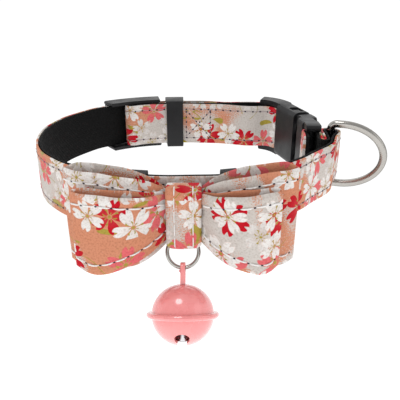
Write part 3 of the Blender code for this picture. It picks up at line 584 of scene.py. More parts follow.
def strap_lines():
    """Both faces of the printed cover and of the webbing behind it, with lengths along the strap."""
    first, second = band_edges("strap_cover")
    places, first, second = finer(first, second, 4)
    # The printed face looks outwards, so it is the one further left at the collar's left end
    leftmost = min(range(len(first)), key=lambda k: first[k].x)
    if first[leftmost].x < second[leftmost].x:
        outer, inner = first, second
    else:
        outer, inner = second, first
    web_outer, web_inner = [], []
    for far, near in zip(outer, inner):
        inwards = (near - far).normalized()
        web_outer.append(near + inwards * WEBBING_GAP)
        web_inner.append(near + inwards * (WEBBING_GAP + WEBBING_THICKNESS))
    return places, outer, inner, web_outer, web_inner


BAND_ROWS = 9
# Ripples of the strap's edges: height, length and phase
RIPPLES = ((0.10 * MM, 7 * MM, 0), (0.07 * MM, 3.1 * MM, 1))


def cloth_band(name, places, outer, inner, material, puff, edge_round):
    """A soft band between two faces: rounded edges, a little fuller between its stitch rows."""
    profile = []
    for index in range(BAND_ROWS):
        share = math.sin((-1 + 2 * index / (BAND_ROWS - 1)) * math.pi / 2)
        fullness = 1.0 - edge_round * abs(share) ** 8 + puff * (1 - share ** 2)
        profile.append((STRAP_EDGE * share, fullness))
    band = bmesh.new()
    uv = band.loops.layers.uv.new("cloth")
    rings = []
    for place, far, near in zip(places, outer, inner):
        middle = (far + near) / 2
        ring = []
        ripple = sum(height * math.sin(place / length + phase) for height, length, phase in RIPPLES)
        for edge, order in ((far, profile), (near, profile[::-1])):
            for height, fullness in order:
                spot = middle + (edge - middle) * fullness
                lift = ripple * abs(height / STRAP_EDGE) ** 4
                ring.append((band.verts.new((spot.x, spot.y, height + lift)), height, place))
        rings.append(ring)
    size = len(rings[0])

    def face(corners):
        made = band.faces.new([corner[0] for corner in corners])
        for loop, corner in zip(made.loops, corners):
            loop[uv].uv = (corner[2], corner[1])

    for here, after in zip(rings, rings[1:]):
        for spot in range(size):
            beside = (spot + 1) % size
            face([here[spot], here[beside], after[beside], after[spot]])
    face(rings[0][::-1])
    face(rings[-1])
    bmesh.ops.recalc_face_normals(band, faces=band.faces)
    band.transform(TO_ROOM)
    return new_piece(name, band, material, 60.0)


# Loops of cloth with hems

HEM_ROUND = 0.45


def grid_normals(points):
    """Directions square to a closed loop of cloth, whose points are rows across it, once round."""
    count, width = len(points), len(points[0])
    normals = []
    for i in range(count):
        before, after = points[i - 1], points[(i + 1) % count]
        row = []
        for j in range(width):
            along = after[j] - before[j]
            across = points[i][min(j + 1, width - 1)] - points[i][max(j - 1, 0)]
            row.append(along.cross(across).normalized())
        normals.append(row)
    return normals


def middle_line(points):
    """The middle of a closed loop of cloth, once round and back to its start."""
    line = [row[len(row) // 2] for row in points]
    return line + line[:1]


def thick_sheet(name, points, thickness, material):
    """A skin round a closed loop of cloth: two faces and rounded hems, with its cloth map in metres."""
    normals = grid_normals(points)
    count, width = len(points), len(points[0])
    along = lengths_along(middle_line(points))
    half = thickness / 2
    skin = bmesh.new()
    uv = skin.loops.layers.uv.new("cloth")
    rings = []
    for i in range(count):
        across = lengths_along(points[i])
        centre = across[-1] / 2
        ring = []
        for j in range(width):
            ring.append((skin.verts.new(points[i][j] + normals[i][j] * half), across[j] - centre))
        low = (points[i][width - 1] - points[i][width - 2]).normalized() * thickness * HEM_ROUND
        ring.append((skin.verts.new(points[i][width - 1] + low), across[-1] - centre))
        for j in range(width - 1, -1, -1):
            ring.append((skin.verts.new(points[i][j] - normals[i][j] * half), across[j] - centre))
        high = (points[i][0] - points[i][1]).normalized() * thickness * HEM_ROUND
        ring.append((skin.verts.new(points[i][0] + high), -centre))
        rings.append(ring)
    size = len(rings[0])
    for i in range(count):
        here, after = rings[i], rings[(i + 1) % count]
        for spot in range(size):
            beside = (spot + 1) % size
            made = skin.faces.new((here[spot][0], here[beside][0], after[beside][0], after[spot][0]))
            places = ((along[i], here[spot][1]), (along[i], here[beside][1]),
                      (along[i + 1], after[beside][1]), (along[i + 1], after[spot][1]))
            for loop, place in zip(made.loops, places):
                loop[uv].uv = place
    bmesh.ops.recalc_face_normals(skin, faces=skin.faces)
    if skin.calc_volume(signed=True) < 0:
        bmesh.ops.reverse_faces(skin, faces=skin.faces)
    return new_piece(name, skin, material, 70.0)


# Stitches

THREAD_SPOTS = 5
THREAD_SIDES = 6
HOLE_SIDES = 8


def stitch_row(line, normals, pitch, share, radius):
    """Threads and needle holes at an even pitch along a line on a surface.

    A thread takes up a share of the pitch, bows out of the cloth and dips into it at both ends.
    """
    lengths = lengths_along(line)

    def at(place):
        index = min(max(int(np.searchsorted(lengths, place)) - 1, 0), len(line) - 2)
        share_here = (place - lengths[index]) / max(lengths[index + 1] - lengths[index], 1e-9)
        spot = line[index].lerp(line[index + 1], share_here)
        up = normals[index].lerp(normals[index + 1], share_here).normalized()
        return spot, up

    threads, holes = [], []
    last = THREAD_SPOTS - 1
    length = pitch * share
    place = 0.0
    while place + length < lengths[-1]:
        spots = []
        for k in range(THREAD_SPOTS):
            spot, up = at(place + length * k / last)
            rise = radius * (1.0 - 1.7 * abs(2 * k / last - 1) ** 3)
            spots.append((spot + up * rise, up))
        threads.append((spots, radius))
        spot, up = at(min(place + (pitch + length) / 2, lengths[-1]))
        holes.append((spot, up, spots[last][0] - spots[0][0]))
        place += pitch
    return threads, holes


def thread_piece(name, rows, material):
    """All the threads of some rows in one piece, each a short round thread with thin ends."""
    mesh = bmesh.new()
    last = THREAD_SPOTS - 1
    for threads, holes in rows:
        for spots, radius in threads:
            rings = []
            for k, (spot, up) in enumerate(spots):
                before, after = spots[max(k - 1, 0)][0], spots[min(k + 1, last)][0]
                side = (after - before).cross(up).normalized()
                size = radius * (0.55 if k in (0, last) else 1.0)
                ring = []
                for s in range(THREAD_SIDES):
                    angle = FULL_TURN * s / THREAD_SIDES
                    offset = side * size * math.cos(angle) + up * size * math.sin(angle)
                    ring.append(mesh.verts.new(spot + offset))
                rings.append(ring)
            for here, after in zip(rings, rings[1:]):
                for s in range(THREAD_SIDES):
                    beside = (s + 1) % THREAD_SIDES
                    mesh.faces.new((here[s], here[beside], after[beside], after[s]))
            mesh.faces.new(rings[0][::-1])
            mesh.faces.new(rings[-1])
    bmesh.ops.recalc_face_normals(mesh, faces=mesh.faces)
    return new_piece(name, mesh, material, 80.0)


def hole_shade_piece(name, rows, size, material):
    """Small dark ovals of painted shade where the needle went through, just over the cloth."""
    mesh = bmesh.new()
    for threads, holes in rows:
        for spot, up, along in holes:
            ahead = along.normalized()
            side = ahead.cross(up).normalized()
            ring = []
            for s in range(HOLE_SIDES):
                angle = FULL_TURN * s / HOLE_SIDES
                offset = ahead * size * 0.7 * math.cos(angle) + side * size * 0.5 * math.sin(angle)
                ring.append(mesh.verts.new(spot + offset + up * 0.05 * MM))
            top = mesh.verts.new(spot + up * 0.09 * MM)
            foot = mesh.verts.new(spot - up * 0.15 * MM)
            for s in range(HOLE_SIDES):
                beside = (s + 1) % HOLE_SIDES
                mesh.faces.new((ring[s], ring[beside], top))
                mesh.faces.new((ring[beside], ring[s], foot))
    bmesh.ops.recalc_face_normals(mesh, faces=mesh.faces)
    return new_piece(name, mesh, material, 80.0)


# The bow

FRONT_FACE = 53.95 * MM
BOW_CENTRE = 2.9 * MM
BOW_FABRIC = 1.0 * MM
# Millimetres from a hem to its seam
BOW_SEAM = 3.2
# Steps along a wing's wall, points across its cloth, and the steps from the pinch at a seam's two ends
BOW_WALLS = 44
BOW_LEVELS = 17
SEAM_START = 2
SEAM_END = 42
# Millimetres by which the bow's cloth rises and falls: between its hems, in the gathers by the knot, in soft
# waves, in the groove of its seams, in the fullness of its hems and along its edges
BOW_SWELL = 0.35
BOW_GATHERS = 0.55
BOW_SOFTNESS = 0.16
BOW_GROOVE = 0.28
BOW_HEM = 0.10
BOW_WAVES = 0.22
# Shares of a wing's length: where its gathers start, and how far on they are deepest
GATHER_START = 0.13
GATHER_REACH = 0.14
# Each row is a share of the wing's length, then the back and front walls as shares of the tier's depth, and
# the top and bottom edges as shares of its height
BACK_WING = (
    (0.00, 0.00, 0.00, 0.19, -0.21), (0.07, 0.00, 0.00, 0.195, -0.22), (0.15, 0.00, 0.03, 0.232, -0.31),
    (0.27, -0.08, 0.28, 0.32, -0.41), (0.42, -0.17, 0.47, 0.38, -0.49), (0.62, -0.31, 0.47, 0.42, -0.52),
    (0.82, -0.42, 0.26, 0.43, -0.545), (0.94, -0.42, 0.02, 0.43, -0.545), (1.00, -0.20, -0.20, 0.42, -0.53))
FRONT_WING = (
    (0.00, 0.00, 0.00, 0.21, -0.225), (0.08, 0.00, 0.00, 0.22, -0.22), (0.18, 0.12, 0.30, 0.27, -0.285),
    (0.33, 1.02, 1.66, 0.31, -0.37), (0.52, 1.40, 2.34, 0.35, -0.48), (0.72, 1.40, 2.36, 0.37, -0.565),
    (0.90, 1.30, 2.00, 0.38, -0.58), (0.97, 1.34, 1.68, 0.38, -0.545), (1.00, 1.50, 1.52, 0.37, -0.53))
BACK, FRONT, TOP, BOTTOM = 1, 2, 3, 4
# Millimetres: both wings' lengths, height and depth, and how far before the strap both walls are pinched.
# The phase shifts one tier's folds against the other's.
TIERS = {
    "bow_back": {"table": BACK_WING, "left": 37.8, "right": 36.2, "height": 33.5, "depth": 9.5,
                 "back_out": 3.5, "front_out": 4.8, "phase": 0.15},
    "bow_front": {"table": FRONT_WING, "left": 33.7, "right": 29.6, "height": 27.5, "depth": 3.8,
                  "back_out": 6.1, "front_out": 7.4, "phase": 0.4},
}


def wing(table, share, column):
    """A wing's table read at a share of its length."""
    shares = [row[0] for row in table]
    values = [row[column] for row in table]
    return float(smooth_series(shares, values, [share])[0])


def tier_grid(table, left, right, height, depth, back_out, front_out, phase):
    """Points of a tier's cloth in the room's frame: once round the loop, from the top edge to the bottom."""
    shares = [math.sin(k / BOW_WALLS * math.pi / 2) for k in range(BOW_WALLS + 1)]
    route = []
    for side, length in ((-1, left), (1, right)):
        walls = ((BACK, back_out), (FRONT, front_out))[::-side]
        for turn, (wall, middle) in enumerate(walls):
            for share in (shares if turn == 0 else shares[-2:0:-1]):
                route.append((side, length, share, wall, middle))
    points = []
    for side, length, share, wall, middle in route:
        out = middle + wing(table, share, wall) * depth
        if share > 0.999:
            out = (back_out + front_out) / 2 + (wing(table, 1.0, BACK) + wing(table, 1.0, FRONT)) / 2 * depth
        face = 1 if wall == FRONT else -1
        top, bottom = wing(table, share, TOP) * height, wing(table, share, BOTTOM) * height
        # The gathers are deepest a little way out from the knot, where this is 1, and die away along the wing
        past_start = share - GATHER_START
        gather = max(0.0, past_start) * math.exp(-past_start / GATHER_REACH) / 0.0515
        row = []
        for level in range(BOW_LEVELS):
            rise = 1 - level / (BOW_LEVELS - 1)
            z = bottom + (top - bottom) * rise
            edge = min(z - bottom, top - z)
            groove = -BOW_GROOVE * math.exp(-((edge - BOW_SEAM) / 0.7) ** 2)
            pucker = groove + BOW_HEM * math.exp(-((edge - 1.3) / 1.0) ** 2)
            swell = BOW_SWELL * math.sin(math.pi * rise) * share
            turns = 2.6 * rise + 0.3 * side + phase + 0.2 * share
            crease = BOW_GATHERS * gather * math.cos(FULL_TURN * turns)
            soft = BOW_SOFTNESS * share * math.sin(z / 4.3 + side * share * length / 6.5 + phase * 5 + face)
            lift = face * (swell + crease * (1 if face == 1 else 0.6) + soft + pucker * min(1, share * 3))
            wave = BOW_WAVES * share * math.sin(share * length / 2.1 + face + phase * 3) * (2 * rise - 1)
            x = BOW_CENTRE / MM + side * length * share
            row.append(TO_ROOM @ (Vector((x, -FRONT_FACE / MM - out - lift, z + wave)) * MM))
        points.append(row)
    return points


def sheet_line(points, normals, walk, distance, from_top, half):
    """A line on a sheet's outer face, along some of its rows, a set distance in from one of its edges."""
    line, ups = [], []
    for i in walk:
        row = points[i] if from_top else points[i][::-1]
        normal_row = normals[i] if from_top else normals[i][::-1]
        walked = 0.0
        for j in range(len(row) - 1):
            step = (row[j + 1] - row[j]).length
            if walked + step >= distance:
                share = (distance - walked) / step
                up = normal_row[j].lerp(normal_row[j + 1], share).normalized()
                line.append(row[j].lerp(row[j + 1], share) + up * half)
                ups.append(up)
                break
            walked += step
    return line, ups


# The knot in millimetres: half sizes and corner of its band's middle line, where its middle stands before the
# strap, and by how much its front bulges, dips along its seams and folds
KNOT_WIDTH = 10.2
KNOT_LOW = 0.8
KNOT_FOOT = 6.2
KNOT_HALF_HEIGHT = 10.15
KNOT_HALF_DEPTH = 4.05
KNOT_MIDDLE = 6.2
KNOT_CORNER = 2.65
KNOT_BULGE = 0.35
KNOT_GROOVE = 0.22
KNOT_SEAM = 2.9
KNOT_FOLDS = 0.12
KNOT_COLUMNS = 13
KNOT_STITCH_COLUMNS = (2.6, 9.4)
KNOT_PITCH = 4.6 * MM
KNOT_THREAD = 0.2 * MM
KNOT_FABRIC = 1.1 * MM


def knot_route():
    """Once round the knot over four corners and four straights: places and the directions outwards."""

    def on_corner(quarter, degrees):
        angle = math.radians(degrees)
        side_out, side_up = ((1, 1), (-1, 1), (-1, -1), (1, -1))[quarter % 4]
        out = side_out * (KNOT_HALF_DEPTH - KNOT_CORNER) + KNOT_CORNER * math.cos(angle)
        up = side_up * (KNOT_HALF_HEIGHT - KNOT_CORNER) + KNOT_CORNER * math.sin(angle)
        return out, up, math.cos(angle), math.sin(angle)

    route = []
    for quarter, straight_steps in enumerate((5, 12, 5, 12)):
        route += [on_corner(quarter, 90 * quarter + 90 * step / 8) for step in range(9)]
        start_out, start_up = route[-1][:2]
        end_out, end_up, normal_out, normal_up = on_corner(quarter + 1, 90 * (quarter + 1))
        for step in range(1, straight_steps):
            share = step / straight_steps
            route.append((start_out + (end_out - start_out) * share, start_up + (end_up - start_up) * share,
                          normal_out, normal_up))
    return route


def knot_grid():
    """The knot's band once round the bow's pinched middle; only its foot narrows, inside the ring."""
    points = []
    for out, up, normal_out, normal_up in knot_route():
        foot = min(max((normal_up + 1.0) / 0.7, 0.0), 1.0) if up < 0 else 1.0
        foot = foot * foot * (3 - 2 * foot)
        width = KNOT_FOOT + (KNOT_WIDTH - KNOT_FOOT) * foot
        front = max(normal_out, 0.0) ** 2
        row = []
        for column in range(KNOT_COLUMNS):
            share = 1 - 2 * column / (KNOT_COLUMNS - 1)
            x = share * width / 2
            bulge = KNOT_BULGE * front * (1 - share ** 2)
            seam = -KNOT_GROOVE * front * math.exp(-((abs(x) - KNOT_SEAM) / 0.5) ** 2)
            fold = KNOT_FOLDS * front * math.sin(up / 2.7 + 1.3 * share)
            lift = bulge + seam + fold
            place = (BOW_CENTRE / MM + x, -FRONT_FACE / MM - KNOT_MIDDLE - out - normal_out * lift,
                     up + normal_up * lift - KNOT_LOW)
            row.append(TO_ROOM @ (Vector(place) * MM))
        points.append(row)
    return points


def knot_stitches(points):
    """Two upright rows of stitches down the front of the knot."""
    normals = grid_normals(points)
    front = [i for i in range(len(points)) if normals[i][KNOT_COLUMNS // 2].y < -0.2]
    gap = next((k for k in range(1, len(front)) if front[k] - front[k - 1] > 1), 0)
    front = front[gap:] + front[:gap]
    rows = []
    for column in KNOT_STITCH_COLUMNS:
        low = int(column)
        share = column - low
        line, ups = [], []
        for i in front:
            up = normals[i][low].lerp(normals[i][low + 1], share).normalized()
            line.append(points[i][low].lerp(points[i][low + 1], share) + up * KNOT_FABRIC / 2)
            ups.append(up)
        rows.append(stitch_row(line, ups, KNOT_PITCH, 0.95, KNOT_THREAD))
    return rows


# Shapes modelled from primitives

def active(name):
    """The primitive that was just added, under its own name."""
    piece = bpy.context.active_object
    piece.name = name
    piece.data.name = name
    return piece


def settle(piece):
    """Moves a piece's place and turn into its mesh."""
    select_only(piece)
    bpy.ops.object.transform_apply(location=True, rotation=True, scale=True)
    return piece


def sphere(name, radius, height, place, segments=96):
    """A ball that is flattened or drawn out to a height."""
    bpy.ops.mesh.primitive_uv_sphere_add(segments=segments, ring_count=segments // 2, radius=radius)
    piece = active(name)
    bpy.ops.object.mode_set(mode="EDIT")
    bpy.ops.mesh.select_all(action="SELECT")
    bpy.ops.transform.resize(value=(1, 1, height / (2 * radius)))
    bpy.ops.object.mode_set(mode="OBJECT")
    piece.location = place
    return settle(piece)


def cylinder(name, radius, depth, place, turn=(0, 0, 0), vertices=96):
    bpy.ops.mesh.primitive_cylinder_add(
        radius=radius, depth=depth, location=place, rotation=turn, vertices=vertices)
    return settle(active(name))


def box(name, size, place):
    bpy.ops.mesh.primitive_cube_add(size=1.0, location=place)
    piece = active(name)
    piece.scale = size
    return settle(piece)


def torus(name, major, minor, place, turn=(0, 0, 0), section=20):
    bpy.ops.mesh.primitive_torus_add(
        major_radius=major, minor_radius=minor, major_segments=128, minor_segments=section,
        location=place, rotation=turn)
    return settle(active(name))


def bevel(piece, width, segments, angle=35.0, clamped=True):
    """Rounds the edges of a piece that turn more than an angle."""
    modifier = piece.modifiers.new("edges", "BEVEL")
    modifier.use_clamp_overlap = clamped
    modifier.width = width
    modifier.segments = segments
    modifier.limit_method = "ANGLE"
    modifier.angle_limit = math.radians(angle)
    return apply_all(piece)


def fuse(piece, tool, kind):
    """Joins or cuts one closed shape with another, and takes the tool away."""
    modifier = piece.modifiers.new(kind.lower(), "BOOLEAN")
    modifier.operation = kind
    modifier.solver = "EXACT"
    modifier.object = tool
    apply_all(piece)
    bpy.data.objects.remove(tool, do_unlink=True)
    return piece


def finish_piece(piece, material, degrees):
    """Gives a piece its material and smooth faces."""
    piece.data.materials.clear()
    piece.data.materials.append(material)
    select_only(piece)
    bpy.ops.object.shade_smooth_by_angle(angle=math.radians(degrees))
    return piece


# The rings and the bell, placed by their joints

JOINTS = {joint["name"]: joint for joint in frame["joints"]}
BELL_PIVOT = Vector(JOINTS["bell_swing"]["pos_m"])
RING_CENTRE = Vector(JOINTS["knot_ring_swing"]["pos_m"])
D_RING_AXIS = Vector(JOINTS["d_ring_swing"]["pos_m"])
KNOT_RING_RADIUS = 5.1 * MM
KNOT_RING_WIRE = 1.2 * MM
BELL_RADIUS = 10.1 * MM
BELL_HEIGHT = 19.6 * MM
BELL_WALL = 0.8 * MM
BELL_DROP = 14.9 * MM
BELL_MIDDLE = BELL_PIVOT - Vector((0, 0, BELL_DROP))
BELL_FLANGE_RADIUS = 11.7 * MM
BELL_FLANGE_THICKNESS = 1.9 * MM
BELL_FLANGE_ROUND = 0.9 * MM
BELL_GROOVE = 0.17 * MM
BELL_GROOVE_RISE = 0.25 * MM
BELL_GROOVE_OUT = 0.05 * MM
BELL_LIP_ROUND = 0.12 * MM
BELL_SLOT = 2.9 * MM
BELL_HOLE_RADIUS = 2.4 * MM
BELL_HOLE_ANGLE = math.radians(44.0)
HANGER_WIDTH = 1.7 * MM
HANGER_INNER = 0.9 * MM
HANGER_OUTER = 1.8 * MM
HANGER_ROUND = 0.36 * MM
HANGER_ROOT = 0.5 * MM
CROWN_HOLE_RADIUS = 0.75 * MM
CROWN_HOLE_GAP = 0.15 * MM
CROWN_HOLE_DEPTH = 3 * MM


def make_hanger():
    """A flat strip bent over the ring's wire, with both legs down to the bell's crown."""
    leg_height = BELL_PIVOT.z - BELL_MIDDLE.z - BELL_HEIGHT / 2 + HANGER_ROOT
    middle = Vector((BELL_PIVOT.x, BELL_PIVOT.y, BELL_PIVOT.z - leg_height / 2))
    hanger = box("hanger", (HANGER_WIDTH, 2 * HANGER_OUTER, leg_height), middle)
    across = (0, math.radians(90), 0)
    fuse(hanger, cylinder("top", HANGER_OUTER, HANGER_WIDTH, BELL_PIVOT, across, 48), "UNION")
    fuse(hanger, cylinder("eye", HANGER_INNER, 3 * HANGER_WIDTH, BELL_PIVOT, across, 48), "DIFFERENCE")
    gap = box("gap", (3 * HANGER_WIDTH, 2 * HANGER_INNER, leg_height), middle)
    fuse(hanger, gap, "DIFFERENCE")
    return bevel(hanger, HANGER_ROUND, 4, clamped=False)


def make_bell(material):
    """A hollow bell: crimped flange, slot with a round hole at each end, hanger and a hole in the crown."""
    bell = sphere("bell_body", BELL_RADIUS, BELL_HEIGHT, BELL_MIDDLE)
    flange = cylinder("flange", BELL_FLANGE_RADIUS, BELL_FLANGE_THICKNESS, BELL_MIDDLE)
    bevel(flange, BELL_FLANGE_ROUND, 5)
    groove = torus("groove", BELL_FLANGE_RADIUS + BELL_GROOVE_OUT, BELL_GROOVE,
                   BELL_MIDDLE + Vector((0, 0, BELL_GROOVE_RISE)), section=12)
    fuse(flange, groove, "DIFFERENCE")
    fuse(bell, flange, "UNION")
    hollow = sphere("hollow", BELL_RADIUS - BELL_WALL, BELL_HEIGHT - 2 * BELL_WALL, BELL_MIDDLE)
    fuse(bell, hollow, "DIFFERENCE")
    slot_top = BELL_MIDDLE.z - BELL_HEIGHT / 2 * math.sin(BELL_HOLE_ANGLE)
    slot_low = BELL_MIDDLE.z - BELL_HEIGHT
    slot = box("slot", (BELL_SLOT, 2 * BELL_RADIUS, slot_top - slot_low),
               (BELL_MIDDLE.x, BELL_MIDDLE.y, (slot_top + slot_low) / 2))
    fuse(bell, slot, "DIFFERENCE")
    for side in (-1, 1):
        away = Vector((0, side * math.cos(BELL_HOLE_ANGLE), -math.sin(BELL_HOLE_ANGLE)))
        turn = Vector((0, 0, 1)).rotation_difference(away).to_euler()
        drill = cylinder("drill", BELL_HOLE_RADIUS, BELL_RADIUS, BELL_MIDDLE + away * BELL_RADIUS, turn, 48)
        fuse(bell, drill, "DIFFERENCE")
    crown_place = BELL_MIDDLE + Vector((0, -HANGER_OUTER - CROWN_HOLE_GAP, BELL_HEIGHT / 2))
    crown_hole = cylinder("crown_hole", CROWN_HOLE_RADIUS, CROWN_HOLE_DEPTH, crown_place, vertices=32)
    fuse(bell, crown_hole, "DIFFERENCE")
    bevel(bell, BELL_LIP_ROUND, 2, 50.0)
    fuse(bell, make_hanger(), "UNION")
    return finish_piece(bell, material, 35.0)


def make_knot_ring(material):
    """Round wire, upright across the bow."""
    upright = (math.radians(90), 0, 0)
    ring = torus("knot_ring_wire", KNOT_RING_RADIUS, KNOT_RING_WIRE / 2, RING_CENTRE, upright)
    return finish_piece(ring, material, 80.0)


def make_pellet(material):
    """The ball inside the bell, as large as its solid."""
    low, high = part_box("bell_pellet")
    pellet = sphere("pellet_ball", (high.x - low.x) / 2, high.z - low.z, (low + high) / 2, 48)
    return finish_piece(pellet, material, 80.0)


D_RING_WIRE = 3.1 * MM
D_RING_HALF = 12.95 * MM
D_RING_REACH = 22.25 * MM
D_RING_STRAIGHT = 5.0 * MM
D_RING_CORNER = 2.65 * MM
D_RING_SWING = -19.0
D_RING_BAR_STEPS = 23
D_RING_CORNER_STEPS = 12
D_RING_BOW_STEPS = 96


def d_ring_line():
    """The D's middle line: a straight bar, two tight corners and a wide bow."""
    points = []
    for step in range(D_RING_BAR_STEPS + 1):
        share = step / D_RING_BAR_STEPS
        points.append((0, 0, (2 * share - 1) * (D_RING_HALF - D_RING_CORNER)))
    for step in range(1, D_RING_CORNER_STEPS):
        angle = math.radians(90 * step / D_RING_CORNER_STEPS)
        points.append((D_RING_CORNER * (1 - math.cos(angle)), 0,
                       D_RING_HALF - D_RING_CORNER * (1 - math.sin(angle))))
    arc = D_RING_REACH - D_RING_STRAIGHT
    for step in range(D_RING_BOW_STEPS + 1):
        angle = math.radians(90 - 180 * step / D_RING_BOW_STEPS)
        points.append((D_RING_STRAIGHT + arc * math.cos(angle), 0, D_RING_HALF * math.sin(angle)))
    for step in range(1, D_RING_CORNER_STEPS):
        angle = math.radians(90 - 90 * step / D_RING_CORNER_STEPS)
        points.append((D_RING_CORNER * (1 - math.cos(angle)), 0,
                       D_RING_CORNER * (1 - math.sin(angle)) - D_RING_HALF))
    return points


def make_d_ring(material):
    """Round wire along the D, turned to where it rests in its pleat."""
    points = d_ring_line()
    bpy.ops.object.select_all(action="DESELECT")
    line = bpy.data.curves.new("d_ring_wire", "CURVE")
    line.dimensions = "3D"
    line.bevel_depth = D_RING_WIRE / 2
    line.bevel_resolution = 6
    spline = line.splines.new("POLY")
    spline.points.add(len(points) - 1)
    for spot, place in zip(spline.points, points):
        spot.co = (*place, 1.0)
    spline.use_cyclic_u = True
    ring = bpy.data.objects.new("d_ring_wire", line)
    bpy.context.scene.collection.objects.link(ring)
    select_only(ring)
    bpy.ops.object.convert(target="MESH")
    ring = bpy.context.active_object
    turn = Matrix.Translation(D_RING_AXIS) @ TO_ROOM @ Matrix.Rotation(math.radians(D_RING_SWING), 4, "Z")
    ring.data.transform(turn)
    bpy.ops.object.mode_set(mode="EDIT")
    bpy.ops.mesh.select_all(action="SELECT")
    bpy.ops.mesh.remove_doubles(threshold=0.00001)
    bpy.ops.mesh.normals_make_consistent(inside=False)
    bpy.ops.object.mode_set(mode="OBJECT")
    return finish_piece(ring, material, 80.0)


def refined(name, new_name, material, width):
    """A solid merged, its flat faces made whole again, and its edges rounded."""
    mesh = node_mesh(name)
    bmesh.ops.dissolve_limit(mesh, angle_limit=math.radians(3.0), verts=mesh.verts, edges=mesh.edges)
    piece = new_piece(new_name, mesh, material, 40.0)
    bevel(piece, width, 3, 32.0)
    return finish_piece(piece, material, 42.0)


# The strap's stitches: how far the rows stand from its middle, in millimetres, and where the crossed box is

STRAP_ROW = 7.4
BOX_NEAR = 1.2 * MM
BOX_FAR = 12.9 * MM
BACK_START = 50 * MM
BACK_END = 100 * MM
STRAP_PITCH = 3.7 * MM
BOX_PITCH = 2.6 * MM
STRAP_THREAD = 0.12 * MM
STITCH_STEP = 0.8 * MM


def strap_reader(places, outer, inner):
    """Reads a point and outward direction on the printed face, from a length along it and a height."""
    outer_x, outer_y = np.array([p.x for p in outer]), np.array([p.y for p in outer])
    inner_x, inner_y = np.array([p.x for p in inner]), np.array([p.y for p in inner])

    def read(place, height):
        spot = Vector((np.interp(place, places, outer_x), np.interp(place, places, outer_y), height))
        back = Vector((np.interp(place, places, inner_x), np.interp(place, places, inner_y), height))
        up = (spot - back).normalized()
        return TO_ROOM @ spot, (TO_ROOM.to_3x3() @ up).normalized()

    return read


def strap_stitches(places, outer, inner):
    """Running rows along both edges and a crossed box by the keeper."""
    read = strap_reader(places, outer, inner)

    def row(start, end, pitch):
        count = max(int(math.dist(start, end) / STITCH_STEP), 2)
        pairs = [read(start[0] + (end[0] - start[0]) * k / count, start[1] + (end[1] - start[1]) * k / count)
                 for k in range(count + 1)]
        return stitch_row([p[0] for p in pairs], [p[1] for p in pairs], pitch, 0.86, STRAP_THREAD)

    rows = []
    last = places[-1]
    for side in (-1, 1):
        height = side * STRAP_ROW * MM
        rows.append(row((4 * MM, height), (last - 3 * MM, height), STRAP_PITCH))

    def along_back(x):
        """The length along the strap at which its stretch across the collar's back reaches an x."""
        back = [k for k in range(len(places)) if BACK_START < places[k] < BACK_END]
        return places[min(back, key=lambda k: abs(outer[k].x - x))]

    near_keeper, far = along_back(BOX_NEAR), along_back(BOX_FAR)
    top = (STRAP_ROW - 0.6) * MM
    for start, end in (((near_keeper, -top), (far, top)), ((near_keeper, top), (far, -top)),
                       ((far, -top), (far, top)), ((near_keeper, -top), (near_keeper, top))):
        rows.append(row(start, end, BOX_PITCH))
    return rows


def declare(piece, body, slot, *nodes):
    """Attaches a piece to the body that it moves with and hides the solids that it takes the place of; the slot
    argument is not used.
    """
    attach(piece, body)
    if nodes:
        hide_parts(*nodes)
    return piece


# Stage, camera and lights

CAMERA_PLACE = (8.0 * MM, -209.5 * MM, 71.0 * MM)
CAMERA_PITCH = 23.9
FOCAL_PIXELS = 518.0
FRAME_PIXELS = 400.0
SENSOR = 36.0
# Name, place, size and power of each lamp, all turned to the middle of the collar
LAMPS = (
    ("key", (-0.16, -0.46, 0.58), 0.30, 1.5),
    ("fill", (0.55, -0.35, 0.18), 0.4, 0.25),
    ("top", (0.0, 0.25, 0.6), 0.6, 0.4),
)
FLOOR_DROP = 0.10
FLOOR_WHITE = (0.94, 0.94, 0.94, 1.0)
WHITE = (1.0, 1.0, 1.0, 1.0)


def set_camera():
    """The camera that fits the strap's edges in the photograph."""
    data = bpy.data.cameras.new("camera")
    data.sensor_width = SENSOR
    data.lens = SENSOR * FOCAL_PIXELS / FRAME_PIXELS
    data.clip_start = 0.01
    camera = bpy.data.objects.new("camera", data)
    bpy.context.scene.collection.objects.link(camera)
    camera.location = TO_ROOM @ Vector(CAMERA_PLACE)
    camera.rotation_euler = (math.radians(90 - CAMERA_PITCH) + LEAN, 0, 0)
    bpy.context.scene.camera = camera


def set_lamp(name, place, size, power):
    """A round soft lamp, turned to the middle of the collar."""
    data = bpy.data.lights.new(name, "AREA")
    data.shape = "DISK"
    data.size = size
    data.energy = power
    lamp = bpy.data.objects.new(name, data)
    bpy.context.scene.collection.objects.link(lamp)
    lamp.location = place
    lamp.rotation_euler = (Vector() - Vector(place)).to_track_quat("-Z", "Y").to_euler()


def set_floor():
    """A plain pale floor some way under the object."""
    bpy.ops.mesh.primitive_plane_add(size=8.0, location=(0, 0, CAD_BOX[0][2] - FLOOR_DROP))
    floor = bpy.context.active_object
    floor.name = "studio_floor"
    material, n, shader = principled("pale_floor")
    place = n.add("ShaderNodeTexCoord").outputs["Object"]
    mottle = n.noise(place, 3.0, 2.0)
    n.link(n.mix(mottle.outputs[0], (0.92, 0.92, 0.92, 1.0), FLOOR_WHITE), shader.inputs["Base Color"])
    shader.inputs["Roughness"].default_value = 0.9
    shader.inputs["Emission Color"].default_value = WHITE
    shader.inputs["Emission Strength"].default_value = 0.5
    floor.data.materials.append(material)


